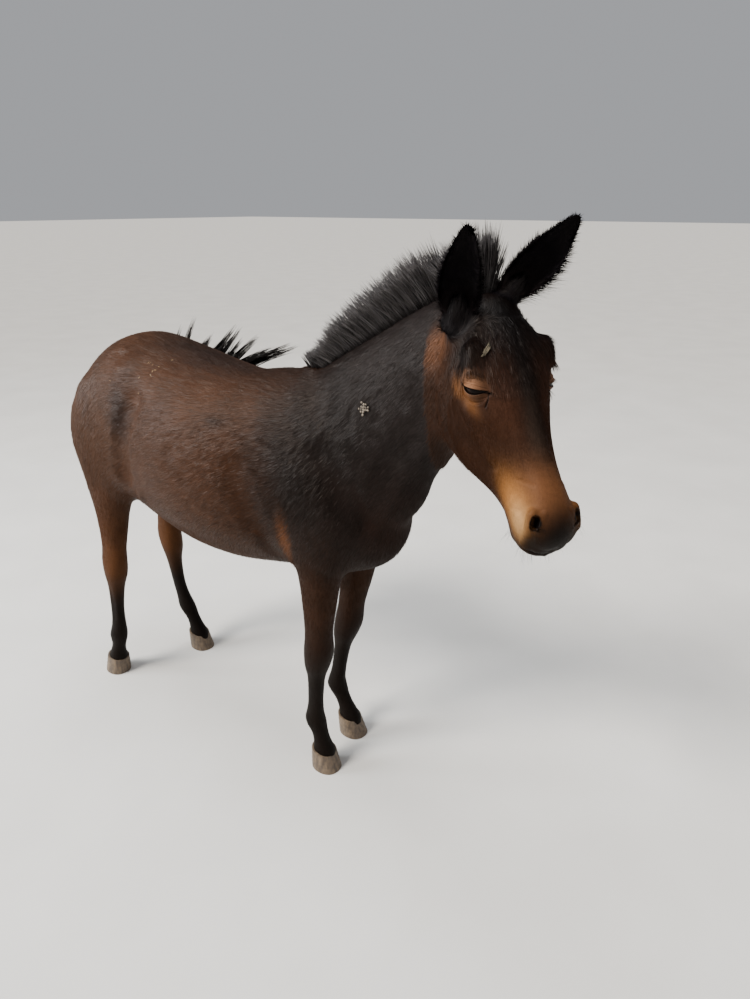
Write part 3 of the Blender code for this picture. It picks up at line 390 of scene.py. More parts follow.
# Painted sheen along the bridge of the nose.
NOSE_BRIDGE_SHEEN = (0.0180, 0.0120, 0.0090)
FACE_BROWN = (0.034, 0.0135, 0.0075)
UPPER_LID = (0.190, 0.088, 0.044)
LOWER_LID = (0.100, 0.038, 0.0110)
MUZZLE_TAN = (0.225, 0.092, 0.024)
MUZZLE_GREY = (0.310, 0.180, 0.074)
NOSE_BROWN = (0.085, 0.034, 0.0130)
# The dark skin of the nose and lips, darkened further by painted shade on their front.
NOSE_AND_SHADE = (0.0020, 0.0012, 0.0010)
LIP_DARK = (0.018, 0.012, 0.009)
FRINGE = (0.125, 0.050, 0.0220)
EAR_BLACK = (0.0024, 0.0019, 0.0028)
EAR_BROWN = (0.0070, 0.0035, 0.0028)
MANE_DARK = (0.0055, 0.0048, 0.0050)
MANE_GREY = (0.040, 0.037, 0.038)
TAIL_HAIR = (0.0040, 0.0030, 0.0030)
# The dark of the lashes, and the painted shade in the eyes' slits and lid corners, the nostrils and the mouth.
EYE_DARK = (0.0015, 0.0010, 0.0010)
EYE_DARKER = (0.002, 0.0015, 0.0015)
EYE_LIGHTER = (0.008, 0.004, 0.003)

# Sideways places count alike on both flanks.
BODY_PATCHES = [
    Patch((0.00, 0.00, 1.02), (0.085, 0.60, 0.115), BACK, 0.85),
    # The rump's own reddish brown, partly painted sheen.
    Patch((0.00, 0.32, 1.04), (0.11, 0.16, 0.13), RUMP_AND_SHEEN, 0.8),
    Patch((0.14, 0.36, 0.82), (0.10, 0.16, 0.22), RUMP_AND_SHEEN, 0.9),
    # Painted shade in the hollow of the flank.
    Patch((0.16, 0.200, 0.860), (0.07, 0.038, 0.070), FLANK_HOLLOW_SHADE, 0.95),
    Patch((0.06, 0.02, 0.52), (0.17, 0.28, 0.055), BELLY, 0.7),
    Patch((0.14, -0.140, 0.892), (0.04, 0.030, 0.014), BACK, 0.6),
    Patch((0.11, -0.37, 0.80), (0.16, 0.16, 0.32), SHOULDER, 0.98),
    Patch((0.00, -0.55, 0.68), (0.11, 0.11, 0.16), CHEST, 0.9),
    Patch((0.14, -0.328, 0.650), (0.06, 0.014, 0.058), ELBOW, 0.75),
]
FACE_PATCHES = [
    Patch((0.19, 0.010, 0.045), (0.10, 0.04, 0.045), FACE_BROWN, 0.8),
    # Dark coat with the painted shadow of the ears over the forehead, the brows and the top of the face.
    Patch((0.04, 0.03, 0.00), (0.13, 0.075, 0.13), FOREHEAD_AND_SHADOW, 0.97),
    Patch((0.095, -0.020, 0.075), (0.050, 0.040, 0.05), FOREHEAD_AND_SHADOW, 0.9),
    Patch((0.18, 0.02, 0.00), (0.13, 0.05, 0.026), FOREHEAD_AND_SHADOW, 0.85),
    # Painted sheen along the bridge of the nose.
    Patch((0.29, 0.00, 0.00), (0.10, 0.05, 0.020), NOSE_BRIDGE_SHEEN, 0.8),
    Patch((0.03, -0.12, 0.07), (0.040, 0.06, 0.05), FRINGE, 0.5),
    Patch((0.182, -0.050, 0.080), (0.024, 0.011, 0.05), LOWER_LID, 0.75),
    Patch((0.146, -0.058, 0.085), (0.024, 0.015, 0.05), LOWER_LID, 0.9),
    Patch((0.158, -0.028, 0.080), (0.022, 0.018, 0.05), UPPER_LID, 0.9),
    Patch((0.370, -0.020, 0.020), (0.060, 0.045, 0.050), NOSE_BROWN, 0.9),
    Patch((0.368, -0.070, 0.052), (0.060, 0.040, 0.030), MUZZLE_TAN, 0.95),
    Patch((0.392, -0.066, 0.055), (0.034, 0.026, 0.022), MUZZLE_GREY, 0.75),
    Patch((0.412, -0.122, 0.000), (0.062, 0.041, 0.080), LIP_DARK, 0.92),
    # Dark nose and lips, partly painted shade on their front.
    Patch((0.444, -0.045, 0.000), (0.050, 0.075, 0.046), NOSE_AND_SHADE, 0.98),
    Patch((0.437, -0.062, 0.044), (0.020, 0.026, 0.020), NOSE_AND_SHADE, 0.82),
]

TAIL_FANS = [Fan(30, 66, 25, 0.140, 0.295), Fan(16, -38, -4, 0.150, 0.235)]
HAIRS_IN_CLUMP = 34
# How far a clump's hairs stand from its middle, and the half width of a tail hair and of a mane hair.
CLUMP_SPREAD = (0.0045, 0.0070, 0.0070)
TAIL_HAIR_WIDTH = 0.0011
MANE_HAIR_WIDTH = 0.0016

# Straw on the croup, dry mud on the shoulder and a bit of hay on the forehead.
LITTER = [
    Litter((-0.112, 0.130, 0.975), 11, 0.040, 0.008, 0.0006, (0.40, 0.28, 0.15), None),
    Litter((-0.080, -0.511, 0.968), 30, 0.0050, 0.005, 0.0026, (0.19, 0.160, 0.125), None),
    Litter((-0.146, -0.812, 1.127), 11, 0.0034, 0.024, 0.0011, (0.13, 0.11, 0.075), (0.568, -0.253, 0.781)),
]
# Whiskers: place on the head and how many.
WHISKERS = [(0.430, -0.085, 0.044, 12), (0.400, -0.130, 0.030, 12), (0.440, -0.110, 0.020, 10),
            (0.420, -0.040, 0.048, 5), (0.210, -0.070, 0.078, 4)]
HORN_DARK = (0.050, 0.034, 0.022)
HORN_LIGHT = (0.125, 0.086, 0.052)

# A wide, soft sun high on the animal's right: the way to it, its strength, its breadth and its colour.
SUN_WAY = (-3.7, 1.6, 3.9)
SUN_STRENGTH = 6.1
SUN_BREADTH = math.radians(22)
SUN_COLOUR = (1.0, 0.96, 0.90)
# Soft lamps, all turned to one place on the animal.
LAMPS = [
    Lamp("front", (-1.6, -4.2, 2.4), 3.0, 50, (1.0, 0.98, 0.95)),
    Lamp("rear", (-2.7, 3.4, 1.9), 1.6, 250, (0.93, 0.97, 1.0)),
    Lamp("top", (0.1, 0.5, 4.2), 2.0, 150, (0.96, 0.98, 1.0)),
]
LIT_PLACE = (0, -0.1, 0.75)
SKY_COLOUR = (0.93, 0.95, 1.0, 1)
WORLD_STRENGTH = 0.42
FLOOR_DARK = (0.53, 0.515, 0.49)
FLOOR_LIGHT = (0.57, 0.555, 0.53)
FLOOR_REACH = 60.0


def unit(v):
    v = np.asarray(v, float)
    return v / np.linalg.norm(v, axis=-1, keepdims=True)


def smooth(x):
    x = np.clip(x, 0, 1)
    return x * x * (3 - 2 * x)


def over(x, edge, width):
    """None up to the edge, rising softly to 1 where x is over it by the width."""
    return smooth((x - edge) / width)


def under(x, edge, width):
    """None down to the edge, rising softly to 1 where x is under it by the width."""
    return smooth((edge - x) / width)


def mix(a, b, share):
    """From a, where a point's share is none, to b, where it is whole."""
    return a * (1 - share[:, None]) + share[:, None] * b


def add(name, data):
    """A new object in the scene."""
    made = bpy.data.objects.new(name, data)
    bpy.context.scene.collection.objects.link(made)
    return made


def placed(flat, middle, across, up):
    """A flat outline put in space about its middle."""
    return middle + flat[:, :1] * across + flat[:, 1:] * up


def along(rows, steps):
    """Rows of numbers made finer, on a smooth curve through them."""
    rows = np.array(rows, float)
    padded = np.vstack([2 * rows[0] - rows[1], rows, 2 * rows[-1] - rows[-2]])
    fine = []
    for i in range(len(rows) - 1):
        a, b, c, d = padded[i:i + 4]
        for t in np.arange(steps) / steps:
            fine.append(0.5 * (2 * b + (c - a) * t + (2 * a - 5 * b + 4 * c - d) * t**2
                               + (3 * b - a - 3 * c + d) * t**3))
    fine.append(rows[-1])
    return np.array(fine)


def read_at(share, values):
    """Values that stand at even steps, read at each share of their way."""
    return np.interp(share, np.linspace(0, 1, len(values)), values)


def ring(half_width, top, bottom, above, below, points=RING_POINTS):
    """A closed outline in its own plane, as (across, up) pairs about the widest line."""
    turn = 2 * np.pi * np.arange(points) / points
    c, s = np.cos(turn), np.sin(turn)
    power = np.where(s >= 0, above, below)
    reach = np.where(s >= 0, top, bottom)
    across = half_width * np.sign(c) * np.abs(c) ** (2 / power)
    up = reach * np.sign(s) * np.abs(s) ** (2 / power)
    return np.stack([across, up], 1)


def skin_over(rings):
    n = len(rings[0])
    faces = []
    for r in range(len(rings) - 1):
        for i in range(n):
            j = (i + 1) % n
            faces.append((r * n + i, r * n + j, (r + 1) * n + j, (r + 1) * n + i))
    return faces


def blade(rings):
    """A closed skin over rings that are each a row and the same row back, ended by strips across."""
    n, last = len(rings[0]), (len(rings) - 1) * len(rings[0])
    faces = skin_over(rings)
    for i in range(n // 2 - 1):
        ends = (i, i + 1, n - 2 - i, n - 1 - i)
        faces.append(ends[::-1])
        faces.append(tuple(last + k for k in ends))
    return np.concatenate(rings), faces


def tube(rings):
    """A closed skin over round rings of equal length, ended by fans."""
    n, count = len(rings[0]), len(rings)
    points = np.concatenate([*rings, [rings[0].mean(0)], [rings[-1].mean(0)]])
    faces = skin_over(rings)
    first, last = count * n, count * n + 1
    for i in range(n):
        j = (i + 1) % n
        faces.append((first, j, i))
        faces.append((last, (count - 1) * n + i, (count - 1) * n + j))
    return points, faces


def mesh_from(name, edit):
    """What was edited, as a new mesh."""
    mesh = bpy.data.meshes.new(name)
    edit.to_mesh(mesh)
    edit.free()
    return mesh


def mesh_object(name, parts):
    """One object of several closed skins, each with its faces turned outwards."""
    points, faces, start = [], [], 0
    for part_points, part_faces in parts:
        points.append(part_points)
        faces += [tuple(i + start for i in face) for face in part_faces]
        start += len(part_points)
    mesh = bpy.data.meshes.new(name)
    mesh.from_pydata(np.concatenate(points).tolist(), [], faces)
    edit = bmesh.new()
    edit.from_mesh(mesh)
    bmesh.ops.recalc_face_normals(edit, faces=edit.faces)
    edit.to_mesh(mesh)
    edit.free()
    return add(name, mesh)


def apply_modifiers(thing):
    graph = bpy.context.evaluated_depsgraph_get()
    mesh = bpy.data.meshes.new_from_object(thing.evaluated_get(graph), depsgraph=graph)
    thing.modifiers.clear()
    thing.data = mesh


def torso():
    rings = []
    for at, top, bottom, widest, half_width, above, below in along(TORSO, 4):
        flat = ring(half_width, top - widest, widest - bottom, above, below)
        rings.append(placed(flat, (0, at, widest), ACROSS, UP))
    return tube(rings)


def ways_at(line, i):
    """The ways across a line and up from it at one of its points."""
    ahead = unit(line[min(i + 1, len(line) - 1)] - line[max(i - 1, 0)])
    across = unit(np.cross(ahead, UP))
    return across, np.cross(across, ahead)


def sweep(line, half_across, half_up, above=2.0, below=2.0, points=RING_POINTS):
    """A closed skin round a line, with its upper side kept up."""
    rings = []
    for i in range(len(line)):
        across, up = ways_at(line, i)
        flat = ring(half_across[i], half_up[i], half_up[i], above, below, points)
        rings.append(placed(flat, line[i], -across, up))
    return tube(rings)


def neck():
    line = along(NECK, 5)
    return sweep(line[:, :3], line[:, 4], line[:, 3], 1.8, 2.0)


def on_head(s, d, side):
    """The place that lies so far along the face from the poll, out of it and to its left."""
    return np.array(POLL) + s * FORWARD + d * DORSAL + side * LEFT


def head_places(points):
    """How far each point lies along the face, out of it, and to the left."""
    return (points - np.array(POLL)) @ HEAD_AXES.T


def head_path(path, side=1):
    """A path given for the left of the head, put on the side asked for."""
    return [on_head(s, d, side * across) for s, d, across in path]


def body_path(path, side=1):
    return [np.array((side * x, y, z)) for x, y, z in path]


def strokes(rows, path_on):
    """Each row's form on both sides of the animal."""
    return [Stroke(path_on(path, side), reach, rise) for path, reach, rise in rows for side in (1, -1)]


def head():
    rings = []
    for at, top, bottom, widest, half_width, above, below in along(HEAD, 4):
        flat = ring(half_width, top - widest, widest - bottom, above, below)
        rings.append(np.array(POLL) + at * FORWARD + flat[:, :1] * LEFT + (widest + flat[:, 1:]) * DORSAL)
    return tube(rings)


def leg(name):
    line = along(LEG_LINES[name], 6)[::-1]
    rings = []
    for height, half_depth, half_width, behind in along(FORE_LEG if "fore" in name else HIND_LEG, 3)[::-1]:
        x = np.interp(height, line[:, 2], line[:, 0])
        y = np.interp(height, line[:, 2], line[:, 1]) + behind
        flat = ring(half_width, half_depth, half_depth, 2.1, 2.1)
        rings.append(placed(flat, (x, y, height), ACROSS, BACKWARDS))
    return tube(rings)


def dock():
    line = along(np.column_stack([TAIL_LINE, TAIL_HALF_WIDTHS]), 4)
    start = line[:1].copy()
    start[0, 1] -= 0.06
    line = np.vstack([start, line])
    return sweep(line[:, :3], line[:, 3], line[:, 3], points=20)


def ear_axes(word):
    """The ways an ear points, faces and spreads."""
    pose = EARS[word]
    heading = unit(FORWARD * (1, 1, 0))
    outwards = LEFT if word == "left" else -LEFT
    points_to = unit(pose.out * outwards + pose.up * UP + pose.ahead * heading)
    faces = pose.faces_ahead * heading - pose.faces_right * LEFT
    opens = unit(faces - (faces @ points_to) * points_to)
    return points_to, opens, np.cross(points_to, opens)


def ear_root(word):
    return on_head(*EARS[word].root)


def ear_stalk(word):
    """The round root of an ear, part of the one skin."""
    points_to, opens, across = ear_axes(word)
    rings = []
    for t, radius in STALK_RINGS:
        flat = ring(radius, radius * 0.8, radius, 2, 2, 20)
        rings.append(placed(flat, ear_root(word) + t * points_to, across, -opens))
    return tube(rings)


def ear(word):
    """A cupped blade: a closed stalk at the root, an open cup above it, and a narrow tip."""
    points_to, opens, across = ear_axes(word)
    root = ear_root(word) - EAR_SUNK * points_to
    turn = np.linspace(-np.pi / 2, np.pi / 2, 25)
    rings = []
    for t, half_width, back, inner in along(EAR_SLICES, 8):
        outer = np.stack([np.sin(turn) * half_width, -np.cos(turn) * back], 1)
        inside = np.stack([np.sin(turn) * half_width * 0.9, -np.cos(turn) * inner], 1)[::-1]
        bow = 0.012 * math.sin(math.pi * t)
        middle = root + t * (EARS[word].length + EAR_SUNK) * points_to + bow * opens
        rings.append(placed(np.concatenate([outer, inside]) * EAR_HALF_WIDTH, middle, across, opens))
    return blade(rings)


def distance_to_path(points, path):
    nearest = np.full(len(points), np.inf)
    for a, b in zip(path[:-1], path[1:]):
        t = np.clip((points - a) @ (b - a) / ((b - a) @ (b - a)), 0, 1)
        nearest = np.minimum(nearest, np.linalg.norm(points - a - t[:, None] * (b - a), axis=1))
    return nearest


def read_points(mesh):
    flat = np.empty(len(mesh.vertices) * 3, np.float32)
    mesh.vertices.foreach_get("co", flat)
    return flat.reshape(-1, 3).astype(float)


def write_points(mesh, points):
    mesh.vertices.foreach_set("co", points.astype(np.float32).ravel())
    mesh.update()


def read_normals(mesh):
    flat = np.empty(len(mesh.vertices) * 3, np.float32)
    mesh.vertex_normals.foreach_get("vector", flat)
    return flat.reshape(-1, 3).astype(float)


def relax(mesh, rounds, share):
    """Move each point towards the middle of its neighbours, by its own share."""
    edges = np.empty(len(mesh.edges) * 2, np.int32)
    mesh.edges.foreach_get("vertices", edges)
    a, b = edges.reshape(-1, 2).T
    count = np.bincount(a, minlength=len(share)) + np.bincount(b, minlength=len(share))
    points = read_points(mesh)
    for _ in range(rounds):
        middle = np.stack([np.bincount(a, points[b, k], len(share)) + np.bincount(b, points[a, k], len(share))
                           for k in range(3)], 1) / count[:, None]
        points += share[:, None] * (middle - points)
    write_points(mesh, points)


def on_face(points):
    """How much each point belongs to the head, from none on the neck to 1."""
    return over(head_places(points)[:, 0], -0.02, 0.06) * (points[:, 1] < HEAD_BEGINS)


def smoothing_share(points):
    """Most on the trunk, least on the face, the lower legs and the tail."""
    low = np.clip((0.56 - points[:, 2]) / 0.10, 0, 1)
    tail = (points[:, 1] > 0.49) | (points[:, 0] > 0.20)
    s, d, _ = head_places(points).T
    stalks = (d > -0.010) & (s < 0.05) & (points[:, 1] < HEAD_BEGINS)
    return 0.5 * (1 - np.maximum(0.80 * np.maximum(on_face(points), low), 0.9 * np.maximum(tail, stalks)))


def sculpt(mesh, forms):
    for stroke in forms:
        points = read_points(mesh)
        away = distance_to_path(points, stroke.points) / stroke.reach
        lift = stroke.rise * np.where(away < 1, (1 - away**2) ** 2, 0)
        write_points(mesh, points + lift[:, None] * read_normals(mesh))


def eye_frame(side):
    """The middle of an eyeball and the ways out of it, up its lids and to its front corner."""
    middle = on_head(EYE_PLACE[0], EYE_PLACE[1], side * EYE_PLACE[2])
    front = unit(HEADING - EYE_INWARD * side * LEFT - EYE_SLANT * UP)
    out = unit(side * LEFT + EYE_INWARD * HEADING + 0.10 * UP)
    up = unit(np.cross(out, front))
    return middle, out, up * np.sign(up[2]), front


def eye_places(points, side):
    """How far each point lies from an eye's middle to its front corner, up its lids and out of it."""
    middle, out, up, front = eye_frame(side)
    return [(points - middle) @ axis for axis in (front, up, out)]


def refine(mesh, inside):
    """Cut every face whose corners all lie inside into four, and even out what is new."""
    chosen = inside(read_points(mesh))
    edit = bmesh.new()
    edit.from_mesh(mesh)
    faces = [face for face in edit.faces if all(chosen[corner.index] for corner in face.verts)]
    edges = list({edge for face in faces for edge in face.edges})
    bmesh.ops.subdivide_edges(edit, edges=edges, cuts=1, use_grid_fill=True)
    edit.to_mesh(mesh)
    edit.free()
    relax(mesh, 5, 0.45 * inside(read_points(mesh)))


def near_path(path, reach):
    """A test for points close to a path on the head, on either side of it."""
    def inside(points):
        return np.any([distance_to_path(points, head_path(path, side)) < reach for side in (1, -1)], axis=0)
    return inside


def whole_face(points):
    return on_face(points) > 0.5


def slit_edges(f):
    """The lower and upper edge of the opening between the lids, at a place along it."""
    bow = np.clip(1 - (f / SLIT_HALF_LENGTH) ** 2, 0, 1)
    return (SLIT_BELOW - SLIT_HALF_HEIGHT) * bow, (SLIT_BELOW + SLIT_HALF_HEIGHT) * bow


def off_slit(f, v):
    """How far each place on the lids lies below or above the opening, less than nothing inside it."""
    low, high = slit_edges(f)
    return np.maximum(low - v, v - high)


def near_crease(f, v, path, width):
    """How close each place on the lids lies to a crease, from none to 1 on its line."""
    places = np.stack([f, v, np.zeros(len(f))], 1)
    return np.exp(-(distance_to_path(places, np.array(path)) / width) ** 2)


def shape_lids(mesh):
    """Draw the skin over each eyeball as two lids with folds, and open the slit between them."""
    shell = EYE_RADIUS + LID_THICK
    for side in (1, -1):
        out = eye_frame(side)[1]
        points = read_points(mesh)
        f, v, w = eye_places(points, side)
        q = np.hypot(f, v)
        near = (q < 0.055) & (w > -0.012) & (w < 0.06)
        dome = np.sqrt(np.clip(shell**2 - q**2, 0, None))
        hold = over(q, 0.016, 0.014)
        lifted = hold * np.maximum(w, dome - 0.004 * hold) + (1 - hold) * dome
        gap = off_slit(f, v)
        within = under(np.abs(f), SLIT_HALF_LENGTH, 0.003)
        opened = under(gap, 0.0004, 0.0010) * within
        beside = under(np.abs(f), SLIT_HALF_LENGTH + 0.004, 0.004)
        lifted = lifted + 0.0014 * beside * np.exp(-((gap - 0.0018) / 0.0014) ** 2)
        for height, width, depth in LID_FOLDS:
            line = height * (1 - (f / (1.6 * SLIT_HALF_LENGTH)) ** 2)
            fade = under(np.abs(f), 1.3 * SLIT_HALF_LENGTH, 0.010)
            lifted = lifted - depth * fade * np.exp(-((v - line) / width) ** 2)
        for path, width, depth in CORNER_CREASES:
            lifted = lifted - depth * near_crease(f, v, path, width)
        behind = np.sqrt(np.clip((EYE_RADIUS - 0.0025) ** 2 - q**2, 0, None)) - 0.003
        lifted = lifted * (1 - opened) + np.minimum(lifted, behind) * opened
        fade_out = under(q, 0.046, 0.014)
        points += (near * fade_out * (lifted - w))[:, None] * out
        write_points(mesh, points)


def coat_depth(points):
    """How far the skin lies under the solid surface, so that the coat has room."""
    low = under(points[:, 2], 0.50, 0.15)
    return SKIN_DEPTH * (1 - 0.55 * np.maximum(low, on_face(points)))


def make_skin():
    """One skin over trunk, neck, head, legs, dock and the roots of the ears."""
    parts = [torso(), neck(), head(), dock()]
    parts += [leg(name) for name in LEG_LINES]
    parts += [ear_stalk(word) for word in EARS]
    thing = mesh_object("skin", parts)
    remesh = thing.modifiers.new("one skin", "REMESH")
    remesh.mode = "VOXEL"
    remesh.voxel_size = VOXEL
    apply_modifiers(thing)
    mesh = thing.data
    relax(mesh, SMOOTHING_ROUNDS, smoothing_share(read_points(mesh)))
    refine(mesh, whole_face)
    midline = [Stroke(head_path(path), reach, rise) for path, reach, rise in FACE_MIDLINE]
    sculpt(mesh, strokes(BODY_FORMS, body_path) + strokes(FACE_FORMS, head_path) + midline
           + strokes(BODY_FOLDS, body_path))
    refine(mesh, near_path(EYE_AREA, 0.040))
    refine(mesh, near_path(MOUTH + NOSTRIL, 0.026))
    relax(mesh, 3, np.full(len(mesh.vertices), 0.4))
    points = read_points(mesh)
    write_points(mesh, points - coat_depth(points)[:, None] * read_normals(mesh))
    refine(mesh, near_path(EYE_AREA, 0.033))
    refine(mesh, near_path(NOSTRIL, 0.016))
    shape_lids(mesh)
    sculpt(mesh, strokes(FACE_DETAILS, head_path))
    mesh.shade_smooth()
    return thing


def waves(points, scale, seed):
    """Smooth seeded variation, about -1 to 1, with features of the given size."""
    draw = np.random.default_rng(seed)
    total = np.zeros(len(points))
    for _ in range(7):
        way = draw.normal(size=3)
        total += np.sin(points @ (way * 2.6 / scale) + draw.uniform(0, 2 * np.pi))
    return total / 3.5


def part_paths():
    """The middle line and rough radius of each part that carries a coat."""
    neck_line = np.array(NECK)[1:, :3]
    neck_line[:, 2] += 0.02
    paths = {
        "torso": (np.array([(0, s.at, (s.top + s.bottom) / 2) for s in TORSO[1:-2:2]]), 0.21),
        "neck": (neck_line, 0.145),
        "head": (np.array([on_head(s, -0.09 + 0.04 * (s > 0.2), 0) for s in (-0.01, 0.1, 0.2, 0.3, 0.44)]),
                 0.085),
        "tail": (FREE_TAIL, 0.030),
    }
    for name, line in LEG_LINES.items():
        level = 0.62 if "fore" in name else 0.66
        kept = [p for p in line if p[2] < level]
        paths[name] = (np.array([(kept[0][0], kept[0][1], level - 0.06)] + kept), 0.062)
    return paths


def along_path(points, path):
    """For each point: its distance from a path, how far along it lies, and its angle round it."""
    starts = np.concatenate([[0], np.cumsum(np.linalg.norm(np.diff(path, axis=0), axis=1))])
    nearest = np.full(len(points), np.inf)
    share = np.zeros(len(points))
    angle = np.zeros(len(points))
    for i, (a, b) in enumerate(zip(path[:-1], path[1:])):
        step = b - a
        t = np.clip((points - a) @ step / (step @ step), 0, 1)
        away = points - a - t[:, None] * step
        distance = np.linalg.norm(away, axis=1)
        sideways = unit(np.cross(step, (0.13, 0.21, 1.0)))
        turned = np.arctan2(away @ sideways, away @ unit(np.cross(sideways, step)))
        closer = distance < nearest
        nearest[closer] = distance[closer]
        share[closer] = (starts[i] + t * np.linalg.norm(step))[closer] / starts[-1]
        angle[closer] = turned[closer]
    return nearest, share, angle


def part_of(points, paths):
    """The number of the part that each point belongs to."""
    away = [along_path(points, path)[0] / radius for path, radius in paths.values()]
    return np.argmin(np.stack(away, 1), 1)


def lie_of(points):
    """The way the coat lies: back over the trunk, down the neck and legs, down the face to the lips."""
    _, y, z = points.T
    flank = under(z, 1.0, 0.15) * over(z, 0.50, 0.12)
    lie = BACKWARDS - 0.55 * flank[:, None] * UP
    lie = mix(lie, 0.35 * BACKWARDS - UP, over(y, 0.24, 0.12) * under(z, 1.0, 0.10))
    neck_way = unit(np.array([0.01, 0.62, -0.62])) - 0.25 * UP * under(z, 0.95, 0.2)[:, None]
    lie = mix(lie, neck_way, under(y, -0.26, 0.12))
    lie = mix(lie, (0.0, 0.16, -1.0), under(z, 0.66, 0.10))
    lie = mix(lie, lie_on_face(points), on_face(points))
    for word in EARS:
        at_ear = np.exp(-(np.linalg.norm(points - ear_root(word), axis=1) / 0.045) ** 4)
        lie = mix(lie, ear_axes(word)[0], at_ear)
    tail_away, share, _ = along_path(points, FREE_TAIL)
    line = along(TAIL_LINE, 4)
    ways = unit(np.stack([read_at(share, column) for column in np.gradient(line, axis=0).T], 1))
    return mix(lie, ways, under(tail_away, 0.045, 0.012) * (share > 0.01))


def lie_on_face(points):
    """Down the face to the lips, back over the cheeks, and up from a whorl between the eyes."""
    s, d, _ = head_places(points).T
    cheek = under(d, -0.03, 0.07) * under(s, 0.30, 0.12)
    way = FORWARD + (0.55 * under(s, 0.10, 0.10) - 0.15)[:, None] * DORSAL
    way = way * (1 - 0.75 * cheek[:, None]) - 0.85 * cheek[:, None] * DORSAL
    return mix(way, 0.5 * DORSAL - FORWARD, under(s, 0.085, 0.05) * over(d, -0.06, 0.05))


def blended(colours, places, patches, sideways):
    """Colours with each patch laid over what is below it, alike on both sides of the sideways axis."""
    places = places.copy()
    places[:, sideways] = np.abs(places[:, sideways])
    for patch in patches:
        away = (places - patch.middle) / patch.reach
        share = patch.strength * np.exp(-np.sum(away**2, axis=1) ** 1.3)
        colours = mix(colours, patch.colour, share)
    return colours


def coat_colour(points):
    """The markings, with painted shade and sheen in places, the same for the skin and for each tuft that grows
    on it.
    """
    _, y, z = points.T
    front = smooth((-0.30 - y - 0.25 * (0.9 - z)) / 0.16)
    # From the barrel's brown to the neck's near black, which holds some painted sheen.
    colours = mix(BARREL, NECK_AND_SHEEN, front)
    colours = blended(colours, points, BODY_PATCHES, 0)
    upper = np.where((y > 0)[:, None], GASKIN, FOREARM)
    leg_colour = upper + under(z, 0.42, 0.20)[:, None] * (np.array(CANNON) - upper)
    colours = mix(colours, leg_colour, under(z, 0.56, 0.22))
    face = blended(CHEEK, head_places(points), FACE_PATCHES, 2)
    colours = mix(colours, face, on_face(points))
    # Painted shade in each eye's slit and lid corners, nostril and mouth.
    for side in (1, -1):
        colours = mix(colours, EYE_DARK, hollow_shade(points, side))
    for word in EARS:
        root, points_to = ear_root(word), ear_axes(word)[0]
        away = distance_to_path(points, [root - 0.01 * points_to, root + 0.05 * points_to])
        colours = mix(colours, EAR_BLACK, under(away, 0.046, 0.014))
    tail_away, share, _ = along_path(points, FREE_TAIL)
    colours = mix(colours, TAIL_HAIR, under(tail_away, 0.045, 0.015) * over(share, 0, 0.05))
    return colours * (1 + 0.10 * waves(points, 0.06, 21) + 0.05 * waves(points, 0.015, 22))[:, None]


def hollow_shade(points, side):
    """How much painted shade one side's eye opening and corners, nostril and mouth lay on each point."""
    f, v, w = eye_places(points, side)
    near = (w > 0) & (np.abs(f) < SLIT_HALF_LENGTH + 0.002)
    dark = near * under(off_slit(f, v), 0.0016, 0.0010)
    for path, width, _ in CORNER_CREASES:
        dark = np.maximum(dark, 0.95 * (near_crease(f, v, path, width) * (w > 0)))
    for path, reach in SHADE_PATHS:
        dark = np.maximum(dark, under(distance_to_path(points, head_path(path, side)), reach, 0.004))
    return dark


def triangles_of(mesh):
    mesh.calc_loop_triangles()
    flat = np.empty(len(mesh.loop_triangles) * 3, np.int32)
    mesh.loop_triangles.foreach_get("vertices", flat)
    return flat.reshape(-1, 3)


def surface_of(mesh):
    """A mesh's points, the way out of it at each, and its triangles."""
    return read_points(mesh), read_normals(mesh), triangles_of(mesh)


def scatter(points, normals, triangles, count, draw):
    """Seeded places spread evenly over some triangles, and the way out of the surface at each."""
    first, second, third = points[triangles].transpose(1, 0, 2)
    weight = 0.5 * np.linalg.norm(np.cross(second - first, third - first), axis=1)
    chosen = triangles[np.sort(draw.choice(len(triangles), count, p=weight / weight.sum()))]
    a, b = draw.random((2, count, 1))
    beyond = a + b > 1
    a, b = np.where(beyond, 1 - a, a), np.where(beyond, 1 - b, b)

    def between(values):
        return values[chosen[:, 0]] * (1 - a - b) + values[chosen[:, 1]] * a + values[chosen[:, 2]] * b
    return between(points), unit(between(normals))


def hair_faces(steps):
    """The triangles of one hair, its corners numbered ring by ring from the root to the tip."""
    faces = [(2, 1, 0)]
    for level in range(steps - 2):
        for i in range(3):
            a, b = 3 * level + i, 3 * level + (i + 1) % 3
            faces += [(a, b, b + 3), (a, b + 3, a + 3)]
    last = 3 * (steps - 2)
    return np.array(faces + [(last + i, last + (i + 1) % 3, last + 3) for i in range(3)])


def triangle_mesh(name, points, triangles):
    mesh = bpy.data.meshes.new(name)
    mesh.vertices.add(len(points))
    mesh.loops.add(triangles.size)
    mesh.polygons.add(len(triangles))
    mesh.vertices.foreach_set("co", points.astype(np.float32).ravel())
    mesh.loops.foreach_set("vertex_index", triangles.ravel().astype(np.int32))
    mesh.polygons.foreach_set("loop_start", np.arange(0, triangles.size, 3, dtype=np.int32))
    mesh.update(calc_edges=True)
    mesh.shade_smooth()
    return mesh


def hair_patch(steps):
    """One hair's own small patch of the unwrap, about its root's place."""
    level = np.repeat(np.arange(steps - 1), 3)
    x = np.append(np.tile([-1.0, 1.0, 0.0], steps - 1), 0.2) * PATCH_HALF_WIDTH
    y = np.append(level + np.tile([0.0, 0.0, 0.35], steps - 1), steps - 1 + 0.2) * PATCH_LENGTH / steps
    return np.stack([x, y], 1)


